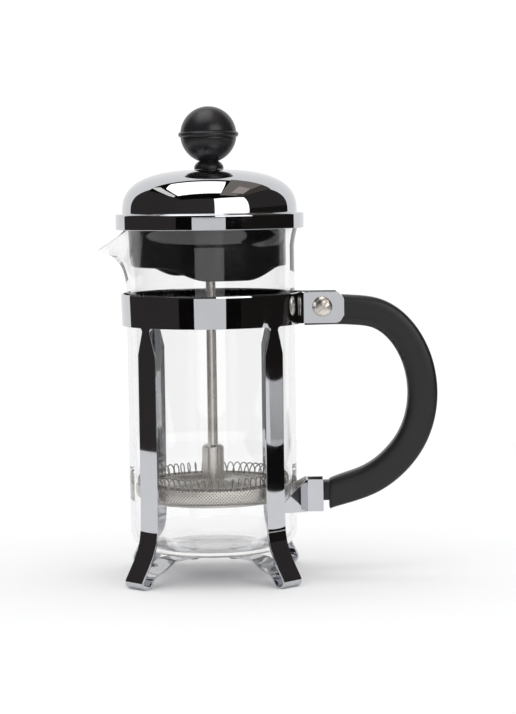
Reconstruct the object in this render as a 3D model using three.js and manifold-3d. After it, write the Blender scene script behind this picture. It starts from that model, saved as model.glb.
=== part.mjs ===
// A small french press: glass beaker in a sheet-metal cage, domed lid, ball knob and filter plunger.
// Millimetres, +Z up. The handle points along +X and the spout along -X.
// The beaker's own axis is the working axis; the last lines shift the whole press so that the origin is
// the bottom centre of its bounding box.

import * as THREE from "three";
import { mergeVertices } from "three/addons/utils/BufferGeometryUtils.js";
import Module from "manifold-3d";

const wasm = await Module();
wasm.setup();

// ---- driving sizes ----------------------------------------------------------------------------------

const GAP = 0.3;                    // clearance left between pieces that touch
const CUT = 1;                      // how far a cutting tool overshoots the piece that it cuts

// glass beaker
const GLASS_RADIUS = 35;            // outside, straight wall
const GLASS_WALL = 1.8;
const GLASS_HEIGHT = 137.5;
const GLASS_BASE_Z = 11.8;          // underside of the glass above the table
const GLASS_CORNER = 9;             // outside radius between wall and bottom
const RIM_FLARE = 1.8;              // how far the rim leans outwards
const FLARE_HEIGHT = 12;
const SPOUT_HEIGHT = 29;            // stretch of wall below the rim that the spout is pulled from
const SPOUT_REACH = 11;             // spout tip beyond the straight wall
const SPOUT_DROP = 12.6;            // spout tip below the rim
const SPOUT_START = [0.3, 0.36];    // first handle of its curve: mm outwards, share of the height upwards
const SPOUT_END = [0.28, 2.3];      // second handle: share of the reach outwards, mm below the tip
const SPOUT_HALF_ANGLE = 34 * Math.PI / 180;

// cage: band, ears and legs
const SHEET = 0.8;                  // sheet thickness of band, legs and lid
const BAND_GAP = 1.6;               // between band and glass
const BAND_BELOW_RIM = 43.3;        // lower edge of the band below the glass rim
const BAND_HEIGHT = 13.1;
const EAR_BEND = 2.5;               // bend radius where the band turns into an ear
const EAR_LENGTH = 18;              // from the band's outside to the ear's end
const EAR_CHAMFER = 3;
const LEG_WIDTH = 10.2;
const LEG_NECK_WIDTH = 4.4;
const LEG_NECK_HEIGHT = 11;
const LEG_GAP = 1.2;                // between the flat of a leg and the glass
const LEG_STRAIGHT_Z = 25;          // a leg is straight above this height
const TOE_OUT = 8.2;                // centre of the toe's bend outside the glass
const TOE_BEND = 2.6;               // outside radius of the toe's bend
const TOE_LEAN = 33 * Math.PI / 180;
const TOE_FLAT = 1.9;               // flat that a toe stands on
const LEG_SWEEP = 9;                // handle length of the curve from the straight to the toe
const RISER = [[3.2, 0.47], [8.4, 0.67], [12.4, 0.91]];    // in from the heel, share of the arm's height
const ARM_INNER_RADIUS = 8.5;       // inner end of an arm
const ARM_FLAT_IN = 10;             // start of the arm's flat, in from the glass
const LEG_ANGLES = [45, 135, 225, 315].map((degrees) => degrees * Math.PI / 180);

// base disc and its rivets
const DISC_RADIUS = 16;
const RIVET_RADIUS = 1.5;
const RIVET_HEAD_RADIUS = 2.8;
const RIVET_HEAD_HEIGHT = 1.2;
const RIVET_CIRCLE = 12;

// handle, its screw and its bracket
const HANDLE_THICKNESS = 9.6;
const HANDLE_WIDTH = 12.4;
const HANDLE_EDGE = 1.6;            // rounding of the handle's long edges
const HANDLE_TOP_OUT = 1.6;         // upper end of the grip's centre line outside the band
const HANDLE_TOP_RISE = 5.2;        // and above the band's lower edge
const HANDLE_OUT = 50.6;            // centre line at its widest, outside the band
const HANDLE_LOW_Z = 33.8;
const HANDLE_CURVE = [              // in from the widest place, share of the way down
  [31, 0], [18, 0.027], [8.5, 0.124], [2.1, 0.279], [0, 0.461], [2.6, 0.642], [9.8, 0.796], [21.5, 0.917],
];
const TONGUE_OUT = 2.5;             // start of the tongue inside the bracket, outside the band
const TONGUE_LENGTH = 8.7;          // from there to the grip's shoulder
const TONGUE_RISE = 1.6;            // middle of the tongue above the middle of the grip's end
const TONGUE_HEIGHT = 8.2;
const TONGUE_THICKNESS = 8.6;
const SCREW_INSET = 9.1;            // from the ear's end
const SCREW_RISE = 6.9;             // above the band's lower edge
const SCREW_END = 0.8;              // thread past the nut
const SCREW_RADIUS = 2;
const SCREW_HEAD_RADIUS = 4.2;
const SCREW_HEAD_HEIGHT = 2.2;
const SLOT_WIDTH = 1.1;
const SLOT_DEPTH = 0.9;
const NUT_ACROSS_FLATS = 7;
const NUT_HEIGHT = 3.2;
const BRACKET_SHEET = 0.6;
const BRACKET_LENGTH = 6.1;         // along the tongue
const BRACKET_HEIGHT = 13.4;
const BRACKET_ARM_HEIGHT = 4.6;
const BRACKET_ARM_DROP = 2.6;       // middle of the arm at a leg, below the middle of the bracket
const BRACKET_PAST_LEG = 0.5;       // tab's bend past the leg's edge

// lid
const LID_PLAY = 1.5;               // between the glass rim and the skirt
const LID_CORNER = 1.2;             // rounding between ledge and skirt
const LID_SKIRT_HEIGHT = 6.4;
const LEDGE_WIDTH = 2.8;            // from the dome's foot to the skirt's outside
const DOME_HEIGHT = 18.1;
const DOME_ROUNDNESS = 2.7;         // exponent of the dome's super-ellipse
const INSERT_PLAY = 1.6;            // between the skirt and the glass
const INSERT_WALL = 1.8;
const INSERT_DEPTH = 19.4;          // skirt below the flange, between the lobes
const LOBE_DEPTH = 5.2;
const LOBE_EDGE = [                 // degrees from the lobe's middle, share of its depth cut away
  [15, 0], [24, 0.16], [33, 0.5], [42, 0.84], [51, 1],
];
const LOBE_ANGLE = 14 * Math.PI / 180;
const FLANGE_THICKNESS = 1.4;
const BOSS_WALL = 3.2;
const BUSH_WALL = 1.9;
const CLIP_RADIUS = 9;
const CLIP_THICKNESS = 1.2;
const BUSH_PAST_CLIP = 1;

// plunger
const ROD_RADIUS = 2.1;
const ROD_PLAY = 0.1;               // between rod and bush
const BALL_RADIUS = 11.65;
const BEAD_RADIUS = 12.5;
const BEAD_HEIGHT = 2.3;
const BEAD_EDGE = 0.3;
const NECK_RADIUS = 3.9;
const COLLAR_RADIUS = 6.1;
const COLLAR_HEIGHT = 3.1;
const COLLAR_CURVE = [[1, 0.26], [0.9, 0.61], [0.754, 0.9]];   // shares of its radius and height
const INSERT_NUT_WALL = 0.7;
const INSERT_NUT_LENGTH = 8;
const COUPLING_RADIUS = 4.6;
const COUPLING_RISE = 21.5;         // its top above the underside of the mesh
const COUPLING_CHAMFER = 1;
const SOCKET_DEPTH = 8.6;           // bore that takes the rod
const STUD_RADIUS = 2.4;
const FILTER_RISE = 20.4;           // underside of the mesh above the glass floor
const MESH_PLAY = 0.5;              // between the mesh and the glass
const MESH_THICKNESS = 0.5;
const MESH_HEIGHT = 6;
const MESH_CORNER = 2.6;
const PLATE_THICKNESS = 0.8;
const PLATE_DISH = 5.7;             // width of its dished rim
const PLATE_HOLES = 4;
const PLATE_HOLE_RADIUS = 4;
const COIL_RADIUS = 3.15;           // wire centre to coil centre
const COIL_WIRE = 0.28;             // wire radius
const COIL_TURNS = 58;
const COIL_STEPS = 6;               // steps in a turn
const COIL_RISE = 7.1;              // middle of the coil above the underside of the mesh
const CROSS_INSET = 3.7;            // from the mesh's edge
const CROSS_THICKNESS = 1;
const CROSS_BOSS_RADIUS = 4.8;
const CROSS_BOSS_HEIGHT = 2.4;
const STUD_INSET = 0.6;             // stud's end above the boss's end
const CROSS_HOLES = 6;
const CROSS_HOLE_RADIUS = 5.2;
const CROSS_HOLE_SHARE = 0.6;       // circle of the holes as a share of the radius

// ---- fits worked out from the driving sizes -----------------------------------------------------------

const RIM_Z = GLASS_BASE_Z + GLASS_HEIGHT;
const GLASS_INNER_RADIUS = GLASS_RADIUS - GLASS_WALL;
const BAND_RADIUS = GLASS_RADIUS + BAND_GAP + SHEET;
const BAND_Z = RIM_Z - BAND_BELOW_RIM;
const BAND_TOP_Z = BAND_Z + BAND_HEIGHT;
const EAR_END_X = BAND_RADIUS + EAR_LENGTH;
const LEG_MID_RADIUS = GLASS_RADIUS + LEG_GAP + SHEET / 2;
const TOE_RADIUS = GLASS_RADIUS + TOE_OUT;
const ARM_FLAT_RADIUS = GLASS_RADIUS - ARM_FLAT_IN;
const ARM_Z = GLASS_BASE_Z - 2 * GAP - SHEET - SHEET / 2;
const DISC_Z = ARM_Z + SHEET / 2 + GAP;
const DISC_THICKNESS = GLASS_BASE_Z - GAP - DISC_Z;
const EAR_INNER_Y = HANDLE_THICKNESS / 2 + GAP;
const EAR_OUTER_Y = EAR_INNER_Y + SHEET;
const HANDLE_TOP_START_X = BAND_RADIUS + HANDLE_TOP_OUT;
const HANDLE_TOP_Z = BAND_Z + HANDLE_TOP_RISE;
const HANDLE_REACH = BAND_RADIUS + HANDLE_OUT;
const TONGUE_START_X = BAND_RADIUS + TONGUE_OUT;
const TONGUE_SHOULDER_X = TONGUE_START_X + TONGUE_LENGTH;
const BRACKET_END_X = TONGUE_START_X + BRACKET_LENGTH;
const BRACKET_ARM_Z = HANDLE_LOW_Z - BRACKET_ARM_DROP;
const SCREW_X = EAR_END_X - SCREW_INSET;
const SCREW_Z = BAND_Z + SCREW_RISE;
const LID_RADIUS = GLASS_RADIUS + RIM_FLARE + LID_PLAY + SHEET;
const DOME_RADIUS = LID_RADIUS - LEDGE_WIDTH;
const INSERT_RADIUS = GLASS_INNER_RADIUS - INSERT_PLAY;
const FLANGE_Z = RIM_Z + GAP;
const LEDGE_Z = FLANGE_Z + FLANGE_THICKNESS + GAP;
const DOME_TOP_Z = LEDGE_Z + SHEET + DOME_HEIGHT;
const KNOB_Z = DOME_TOP_Z + GAP;
const BALL_Z = KNOB_Z + COLLAR_HEIGHT + Math.sqrt(BALL_RADIUS ** 2 - NECK_RADIUS ** 2);
const BUSH_RADIUS = ROD_RADIUS + ROD_PLAY + BUSH_WALL;
const BUSH_HOLE = BUSH_RADIUS + GAP;
const ROD_HOLE = ROD_RADIUS + GAP;
const STUD_HOLE = STUD_RADIUS + GAP;
const MESH_RADIUS = GLASS_INNER_RADIUS - MESH_PLAY;
const FILTER_Z = GLASS_BASE_Z + GLASS_WALL + FILTER_RISE;
const COIL_Z = FILTER_Z + COIL_RISE;
const COIL_CENTRE_RADIUS = MESH_RADIUS - MESH_THICKNESS - GAP - COIL_RADIUS - COIL_WIRE;
const PLATE_RADIUS = COIL_CENTRE_RADIUS - COIL_RADIUS - COIL_WIRE - GAP;
const PLATE_FLAT_RADIUS = PLATE_RADIUS - PLATE_DISH;
const PLATE_Z = FILTER_Z + MESH_THICKNESS + GAP;
const COUPLING_Z = PLATE_Z + PLATE_THICKNESS + GAP;
const COUPLING_TOP_Z = FILTER_Z + COUPLING_RISE;
const SOCKET_Z = COUPLING_TOP_Z - SOCKET_DEPTH;
const CROSS_RADIUS = MESH_RADIUS - CROSS_INSET;
const CROSS_HOLE_CIRCLE = CROSS_HOLE_SHARE * CROSS_RADIUS;
const CROSS_Z = FILTER_Z - GAP - CROSS_THICKNESS;
const BOSS_Z = CROSS_Z - CROSS_BOSS_HEIGHT;

// ---- small tools --------------------------------------------------------------------------------------

const v2 = (x, y) => new THREE.Vector2(x, y);

// Points of an arc, both ends included.
function arc(x, y, radius, from, to, steps) {
  return Array.from({ length: steps + 1 }, (_, i) => {
    const angle = from + (to - from) * i / steps;
    return v2(x + radius * Math.cos(angle), y + radius * Math.sin(angle));
  });
}

// Only the positions, with shared corners merged, as the boolean library needs them.
function bare(geometry) {
  const copy = geometry.clone();
  copy.deleteAttribute("normal");
  copy.deleteAttribute("uv");
  return mergeVertices(copy, 1e-5);
}

function solid(geometry) {
  const merged = bare(geometry);
  return new wasm.Manifold(new wasm.Mesh({
    numProp: 3,
    vertProperties: new Float32Array(merged.attributes.position.array),
    triVerts: new Uint32Array(merged.index.array),
  }));
}

function geometryOf(manifold) {
  const mesh = manifold.getMesh();
  const geometry = new THREE.BufferGeometry();
  geometry.setAttribute("position", new THREE.BufferAttribute(mesh.vertProperties, 3));
  geometry.setIndex(new THREE.BufferAttribute(mesh.triVerts, 1));
  return geometry;
}

// Six times the enclosed volume, positive when the faces point outwards.
function signedVolume(geometry) {
  const position = geometry.attributes.position;
  const index = geometry.index.array;
  const [a, b, c] = [new THREE.Vector3(), new THREE.Vector3(), new THREE.Vector3()];
  let volume = 0;
  for (let i = 0; i < index.length; i += 3) {
    a.fromBufferAttribute(position, index[i]);
    b.fromBufferAttribute(position, index[i + 1]);
    c.fromBufferAttribute(position, index[i + 2]);
    volume += a.dot(b.cross(c));
  }
  return volume;
}

function facingOut(geometry) {
  const merged = bare(geometry);
  if (signedVolume(merged) < 0) {
    merged.index.array.reverse();
  }
  return merged;
}

// Outline of radius and height turned round the Z axis.
function turned(profile, segments) {
  return facingOut(new THREE.LatheGeometry(profile, segments).rotateX(Math.PI / 2));
}

// Closed ring section: the outline's last point meets its first.
function turnedRing(profile, segments) {
  return turned([...profile, profile[0]], segments);
}

function ring(inner, outer, bottom, top, segments) {
  return turnedRing([v2(inner, bottom), v2(outer, bottom), v2(outer, top), v2(inner, top)], segments);
}

function post(radius, bottom, top, segments) {
  return turned([v2(0, bottom), v2(radius, bottom), v2(radius, top), v2(0, top)], segments);
}

// Outline in X and Y made solid from one height to another.
function plan(points, bottom, top, holes = []) {
  const shape = new THREE.Shape(points);
  shape.holes = holes.map((hole) => new THREE.Path(hole));
  const geometry = new THREE.ExtrudeGeometry(shape, { depth: top - bottom, bevelEnabled: false });
  return facingOut(geometry.translate(0, 0, bottom));
}

// Outline in X and Z made solid through Y, centred on y = 0.
function side(points, thickness, bevel = 0) {
  const geometry = new THREE.ExtrudeGeometry(new THREE.Shape(points), {
    depth: thickness - 2 * bevel,
    bevelEnabled: bevel > 0,
    bevelThickness: bevel,
    bevelSize: bevel,
    bevelOffset: -bevel,
    bevelSegments: 2,
  });
  return facingOut(geometry.rotateX(Math.PI / 2).translate(0, thickness / 2 - bevel, 0));
}

// Strip of even thickness along a middle line.
function ribbon(line, thickness) {
  const offset = (sign) => line.map((point, i) => {
    const ahead = line[Math.min(i + 1, line.length - 1)];
    const behind = line[Math.max(i - 1, 0)];
    const along = ahead.clone().sub(behind).normalize();
    return v2(point.x - sign * along.y * thickness / 2, point.y + sign * along.x * thickness / 2);
  });
  return [...offset(1), ...offset(-1).reverse()];
}

function cut(geometry, ...tools) {
  return geometryOf(tools.reduce((rest, tool) => rest.subtract(solid(tool)), solid(geometry)));
}

function common(first, second) {
  return geometryOf(solid(first).intersect(solid(second)));
}

function joined(...pieces) {
  return geometryOf(pieces.map(solid).reduce((sum, piece) => sum.add(piece)));
}

const around = (geometry, angle) => geometry.clone().rotateZ(angle);

// ---- materials ----------------------------------------------------------------------------------------

const chrome = () => new THREE.MeshStandardMaterial({ color: 0xd9dadc, roughness: 0.08, metalness: 1 });
const steel = () => new THREE.MeshStandardMaterial({ color: 0xa9a59f, roughness: 0.35, metalness: 1 });
const nickel = () => new THREE.MeshStandardMaterial({ color: 0xb9ab97, roughness: 0.25, metalness: 1 });
const brass = () => new THREE.MeshStandardMaterial({ color: 0xb8964a, roughness: 0.35, metalness: 1 });
const blackPlastic = () => new THREE.MeshStandardMaterial({ color: 0x1b1b1c, roughness: 0.5, metalness: 0 });
const glossPlastic = () => new THREE.MeshStandardMaterial({ color: 0x0e0e0f, roughness: 0.12, metalness: 0 });
const glass = () => new THREE.MeshStandardMaterial({
  color: 0xf4f8f8, roughness: 0.02, metalness: 0, transparent: true, opacity: 0.25,
});

const press = new THREE.Group();

function add(name, geometry, material) {
  const mesh = new THREE.Mesh(geometry, material);
  mesh.name = name;
  press.add(mesh);
}

// ---- glass beaker -------------------------------------------------------------------------------------

// The wall's outside at a share t of the way up the spout's stretch, away from the spout.
function wallPoint(t) {
  const z = RIM_Z - GLASS_WALL / 2 - SPOUT_HEIGHT * (1 - t);
  const flare = THREE.MathUtils.smoothstep(z, RIM_Z - FLARE_HEIGHT, RIM_Z);
  return v2(GLASS_RADIUS + RIM_FLARE * flare, z);
}

// The same point in the middle of the spout, on a curve that leans out to the tip.
function spoutPoint(t) {
  const start = wallPoint(0);
  const tip = v2(GLASS_RADIUS + SPOUT_REACH, RIM_Z - SPOUT_DROP);
  const curve = new THREE.CubicBezierCurve(
    start,
    v2(start.x + SPOUT_START[0], start.y + SPOUT_START[1] * SPOUT_HEIGHT),
    v2(start.x + SPOUT_END[0] * SPOUT_REACH, tip.y - SPOUT_END[1]),
    tip,
  );
  return curve.getPoint(t);
}

// Outside and inside of the wall at t, blended by how much of the spout there is (0 to 1).
function wallPair(t, share) {
  const blend = (at) => {
    const wall = wallPoint(at);
    const spout = spoutPoint(at);
    const x = THREE.MathUtils.lerp(wall.x, spout.x, share ** 2);
    return v2(x, THREE.MathUtils.lerp(wall.y, spout.y, share));
  };
  const along = blend(Math.min(t + 0.02, 1)).sub(blend(Math.max(t - 0.02, 0))).normalize();
  const outside = blend(t);
  const wall = GLASS_WALL * (1 - 0.25 * share * t);
  const inside = v2(outside.x - along.y * wall, outside.y + along.x * wall);
  const middle = outside.clone().add(inside).divideScalar(2).addScaledVector(along, wall / 2);
  return { outside, inside, middle };
}

function beakerProfile(share) {
  const steps = [0, 0.25, 0.5, 0.7, 0.85, 1];
  const pairs = steps.map((t) => wallPair(t, share));
  const corner = GLASS_RADIUS - GLASS_CORNER;
  const floor = GLASS_BASE_Z + GLASS_WALL;
  return [
    v2(0, GLASS_BASE_Z),
    ...arc(corner, GLASS_BASE_Z + GLASS_CORNER, GLASS_CORNER, -Math.PI / 2, 0, 4),
    ...pairs.map((pair) => pair.outside),
    pairs[pairs.length - 1].middle,
    ...pairs.map((pair) => pair.inside).reverse(),
    ...arc(corner, GLASS_BASE_Z + GLASS_CORNER, GLASS_CORNER - GLASS_WALL, 0, -Math.PI / 2, 4),
    v2(0, floor),
  ];
}

function beaker() {
  const segments = 60;
  const plain = beakerProfile(0);
  const geometry = new THREE.LatheGeometry(plain, segments);
  const position = geometry.attributes.position;
  for (let i = 0; i <= segments; i += 1) {
    const angle = 2 * Math.PI * (i % segments) / segments;
    const away = Math.abs(angle - Math.PI);
    const share = away < SPOUT_HALF_ANGLE ? (1 + Math.cos(Math.PI * away / SPOUT_HALF_ANGLE)) / 2 : 0;
    beakerProfile(share).forEach((point, j) => {
      position.setXYZ(i * plain.length + j, point.x * Math.cos(angle), point.x * Math.sin(angle), point.y);
    });
  }
  return facingOut(geometry);
}

// ---- cage ---------------------------------------------------------------------------------------------

// Outline of the band seen from above, open at the handle with an ear on each side.
function bandOutline() {
  const bendX = Math.sqrt((BAND_RADIUS + EAR_BEND) ** 2 - (EAR_OUTER_Y + EAR_BEND) ** 2);
  const bendY = EAR_OUTER_Y + EAR_BEND;
  const start = Math.atan2(bendY, bendX);
  const wide = EAR_BEND + SHEET;
  const end = 2 * Math.PI - start;
  return [
    v2(EAR_END_X, EAR_OUTER_Y),
    ...arc(bendX, bendY, EAR_BEND, 1.5 * Math.PI, Math.PI + start, 4),
    ...arc(0, 0, BAND_RADIUS, start, end, 56).slice(1, -1),
    ...arc(bendX, -bendY, EAR_BEND, Math.PI - start, 0.5 * Math.PI, 4),
    v2(EAR_END_X, -EAR_OUTER_Y),
    v2(EAR_END_X, -EAR_INNER_Y),
    ...arc(bendX, -bendY, wide, 0.5 * Math.PI, Math.PI - start, 4),
    ...arc(0, 0, BAND_RADIUS - SHEET, end, start, 56).slice(1, -1),
    ...arc(bendX, bendY, wide, Math.PI + start, 1.5 * Math.PI, 4),
    v2(EAR_END_X, EAR_INNER_Y),
  ];
}

const screwBore = (radius) => post(radius, -LID_RADIUS, LID_RADIUS, 20)
  .rotateX(Math.PI / 2).translate(SCREW_X, 0, SCREW_Z);

function band() {
  const reach = BAND_RADIUS + CUT;
  const outline = [
    v2(-reach, BAND_Z),
    v2(EAR_END_X - EAR_CHAMFER, BAND_Z),
    v2(EAR_END_X, BAND_Z + EAR_CHAMFER),
    v2(EAR_END_X, BAND_TOP_Z - EAR_CHAMFER),
    v2(EAR_END_X - EAR_CHAMFER, BAND_TOP_Z),
    v2(-reach, BAND_TOP_Z),
  ];
  const sheet = common(plan(bandOutline(), BAND_Z - CUT, BAND_TOP_Z + CUT), side(outline, 2 * reach));
  return cut(sheet, screwBore(SCREW_RADIUS + GAP));
}

// Middle line of a leg in radius and height: down the glass, round the toe, and in under the glass.
function legLine() {
  const mid = TOE_BEND - SHEET / 2;
  const toeTop = v2(TOE_RADIUS + mid * Math.cos(TOE_LEAN), TOE_BEND + mid * Math.sin(TOE_LEAN));
  const lean = v2(Math.sin(TOE_LEAN), -Math.cos(TOE_LEAN));
  const sweep = new THREE.CubicBezierCurve(
    v2(LEG_MID_RADIUS, LEG_STRAIGHT_Z),
    v2(LEG_MID_RADIUS, LEG_STRAIGHT_Z - LEG_SWEEP),
    toeTop.clone().addScaledVector(lean, -LEG_SWEEP),
    toeTop,
  );
  const heel = v2(TOE_RADIUS - TOE_FLAT, SHEET / 2);
  const sole = [0.2, 0.8].map((share) => v2(TOE_RADIUS - share * TOE_FLAT, SHEET / 2));
  const riser = new THREE.SplineCurve([
    heel,
    ...RISER.map(([inwards, share]) => v2(heel.x - inwards, share * ARM_Z)),
    v2(ARM_FLAT_RADIUS, ARM_Z),
  ]);
  return [
    v2(LEG_MID_RADIUS, BAND_Z - GAP),
    ...sweep.getPoints(8),
    ...arc(TOE_RADIUS, TOE_BEND, mid, TOE_LEAN, -Math.PI / 2, 7).slice(1),
    ...sole,
    ...riser.getPoints(12),
    v2(ARM_INNER_RADIUS, ARM_Z),
  ];
}

// Outline of the strip seen face on: full width with a narrow neck at the band.
function legFront() {
  const half = LEG_WIDTH / 2;
  const neck = LEG_NECK_WIDTH / 2;
  const shoulder = BAND_Z - LEG_NECK_HEIGHT;
  return [
    v2(-half, -CUT),
    v2(half, -CUT),
    v2(half, shoulder),
    v2(neck, BAND_Z),
    v2(-neck, BAND_Z),
    v2(-half, shoulder),
  ];
}

const rivetBore = (radius, x) => post(radius, -CUT, GLASS_BASE_Z + CUT, 16).translate(x, 0, 0);

function leg() {
  const reach = TOE_RADIUS + TOE_BEND + CUT;
  const strip = side(ribbon(legLine(), SHEET), LEG_WIDTH);
  const front = side(legFront(), 2 * reach).rotateZ(Math.PI / 2);
  return cut(common(strip, front), rivetBore(RIVET_RADIUS + GAP, RIVET_CIRCLE));
}

function baseDisc() {
  const disc = post(DISC_RADIUS, DISC_Z, DISC_Z + DISC_THICKNESS, 40);
  return cut(disc, ...LEG_ANGLES.map((angle) => around(rivetBore(RIVET_RADIUS + GAP, RIVET_CIRCLE), angle)));
}

// Shank through disc and arm with a domed head below the arm.
function rivet() {
  const seat = ARM_Z - SHEET / 2 - GAP;
  return turned([
    v2(0, seat - RIVET_HEAD_HEIGHT),
    v2(RIVET_HEAD_RADIUS * 0.6, seat - RIVET_HEAD_HEIGHT * 0.85),
    v2(RIVET_HEAD_RADIUS, seat - RIVET_HEAD_HEIGHT * 0.3),
    v2(RIVET_HEAD_RADIUS, seat),
    v2(RIVET_RADIUS, seat),
    v2(RIVET_RADIUS, DISC_Z + DISC_THICKNESS),
    v2(0, DISC_Z + DISC_THICKNESS),
  ], 16).translate(RIVET_CIRCLE, 0, 0);
}

// ---- handle -------------------------------------------------------------------------------------------

// Centre line of the D-shaped grip in X and Z, from the ears to the bracket.
const HANDLE_LINE = new THREE.SplineCurve([
  v2(HANDLE_TOP_START_X, HANDLE_TOP_Z),
  ...HANDLE_CURVE.map(([inwards, share]) => v2(
    HANDLE_REACH - inwards, THREE.MathUtils.lerp(HANDLE_TOP_Z, HANDLE_LOW_Z, share),
  )),
  v2(TONGUE_SHOULDER_X, HANDLE_LOW_Z),
]);

function box(x0, x1, y0, y1, z0, z1) {
  return plan([v2(x0, y0), v2(x1, y0), v2(x1, y1), v2(x0, y1)], z0, z1);
}

// The grip runs on a little past its shoulder and is cut off upright there.
function handle() {
  const line = HANDLE_LINE.getPoints(36);
  const onwards = HANDLE_LINE.getTangent(1).multiplyScalar(HANDLE_WIDTH / 2);
  const path = [...line, line[line.length - 1].clone().add(onwards)];
  const grip = side(ribbon(path, HANDLE_WIDTH), HANDLE_THICKNESS, HANDLE_EDGE);
  const middleZ = (HANDLE_TOP_Z + HANDLE_LOW_Z) / 2;
  const past = box(0, TONGUE_SHOULDER_X, -HANDLE_THICKNESS, HANDLE_THICKNESS, 0, middleZ);
  const tongueZ = HANDLE_LOW_Z + TONGUE_RISE;
  const tongue = box(
    TONGUE_START_X, TONGUE_SHOULDER_X + HANDLE_EDGE + CUT,
    -TONGUE_THICKNESS / 2, TONGUE_THICKNESS / 2,
    tongueZ - TONGUE_HEIGHT / 2, tongueZ + TONGUE_HEIGHT / 2,
  );
  return cut(joined(cut(grip, past), tongue), screwBore(SCREW_RADIUS + GAP));
}

function slottedScrew() {
  const head = EAR_OUTER_Y + GAP;
  const end = EAR_OUTER_Y + GAP + NUT_HEIGHT + SCREW_END;
  const body = turned([
    v2(0, head + SCREW_HEAD_HEIGHT),
    v2(SCREW_HEAD_RADIUS * 0.5, head + SCREW_HEAD_HEIGHT * 0.9),
    v2(SCREW_HEAD_RADIUS * 0.85, head + SCREW_HEAD_HEIGHT * 0.6),
    v2(SCREW_HEAD_RADIUS, head + SCREW_HEAD_HEIGHT * 0.2),
    v2(SCREW_HEAD_RADIUS, head),
    v2(SCREW_RADIUS, head),
    v2(SCREW_RADIUS, -end),
    v2(0, -end),
  ], 24);
  const top = head + SCREW_HEAD_HEIGHT;
  const reach = SCREW_HEAD_RADIUS + CUT;
  const slot = box(-reach, reach, -SLOT_WIDTH / 2, SLOT_WIDTH / 2, top - SLOT_DEPTH, top + CUT);
  return cut(body, slot.rotateZ(Math.PI / 4)).rotateX(Math.PI / 2).translate(SCREW_X, 0, SCREW_Z);
}

function hexNut() {
  const corner = NUT_ACROSS_FLATS / Math.sqrt(3);
  const outline = arc(0, 0, corner, 0, 2 * Math.PI, 6).slice(0, -1);
  const hole = arc(0, 0, SCREW_RADIUS + GAP, 0, 2 * Math.PI, 20).slice(0, -1);
  const face = EAR_OUTER_Y + GAP;
  return plan(outline, face, face + NUT_HEIGHT, [hole])
    .rotateX(-Math.PI / 2).translate(SCREW_X, 0, SCREW_Z);
}

// Sheet that holds the handle's lower end: two plates and a web round the tongue, and an arm to each
// of the two legs beside the handle, ending in a tab behind the leg.
function bracket() {
  const inner = TONGUE_THICKNESS / 2 + GAP;
  const foldY = inner + BRACKET_SHEET / 2;
  const webX = TONGUE_START_X - GAP - BRACKET_SHEET / 2;
  const tabRadius = LEG_MID_RADIUS - SHEET / 2 - GAP - BRACKET_SHEET / 2;
  const angle = LEG_ANGLES[0];
  const legPoint = (across) => v2(
    tabRadius * Math.cos(angle) + across * Math.sin(angle),
    tabRadius * Math.sin(angle) - across * Math.cos(angle),
  );
  const arm = (sign) => [
    legPoint(0),
    legPoint(LEG_WIDTH / 2 + BRACKET_PAST_LEG),
    v2(webX, foldY),
    v2(BRACKET_END_X, foldY),
  ].map((point) => v2(point.x, sign * point.y));
  const bottom = HANDLE_LOW_Z - BRACKET_HEIGHT / 2;
  const top = HANDLE_LOW_Z + BRACKET_HEIGHT / 2;
  const sheets = joined(
    plan(ribbon(arm(1), BRACKET_SHEET), bottom, top),
    plan(ribbon(arm(-1), BRACKET_SHEET), bottom, top),
    box(webX - BRACKET_SHEET / 2, webX + BRACKET_SHEET / 2, -foldY, foldY, bottom, top),
  );
  const legX = legPoint(LEG_WIDTH / 2 + 2 * BRACKET_PAST_LEG).x;
  const narrow = BRACKET_ARM_HEIGHT / 2;
  const outline = [
    v2(legX - LEG_WIDTH, BRACKET_ARM_Z - narrow),
    v2(legX, BRACKET_ARM_Z - narrow),
    v2(webX - BRACKET_SHEET, bottom),
    v2(BRACKET_END_X + CUT, bottom),
    v2(BRACKET_END_X + CUT, top),
    v2(webX - BRACKET_SHEET, top),
    v2(legX, BRACKET_ARM_Z + narrow),
    v2(legX - LEG_WIDTH, BRACKET_ARM_Z + narrow),
  ];
  return common(sheets, side(outline, 2 * BAND_RADIUS));
}

// ---- lid ----------------------------------------------------------------------------------------------

// Outside of the dome from its top outwards, a super-ellipse.
function domeCurve(radius, height, base, from, steps) {
  return Array.from({ length: steps + 1 }, (_, i) => {
    const angle = (1 - i / steps) * Math.acos((from / radius) ** (DOME_ROUNDNESS / 2));
    const x = radius * Math.cos(angle) ** (2 / DOME_ROUNDNESS);
    return v2(x, base + height * Math.sin(angle) ** (2 / DOME_ROUNDNESS));
  });
}

function dome() {
  const ledgeTop = LEDGE_Z + SHEET;
  const skirtZ = ledgeTop - LID_SKIRT_HEIGHT;
  const outside = domeCurve(DOME_RADIUS, DOME_HEIGHT, ledgeTop, BUSH_HOLE, 9);
  const inside = domeCurve(DOME_RADIUS - SHEET, DOME_HEIGHT - SHEET, ledgeTop, BUSH_HOLE, 9).slice(0, -1);
  return turnedRing([
    ...outside,
    ...arc(LID_RADIUS - LID_CORNER, ledgeTop - LID_CORNER, LID_CORNER, Math.PI / 2, 0, 3),
    v2(LID_RADIUS, skirtZ),
    v2(LID_RADIUS - SHEET, skirtZ),
    v2(LID_RADIUS - SHEET, LEDGE_Z),
    v2(DOME_RADIUS - SHEET, LEDGE_Z),
    ...inside.reverse(),
  ], 44);
}

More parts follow.
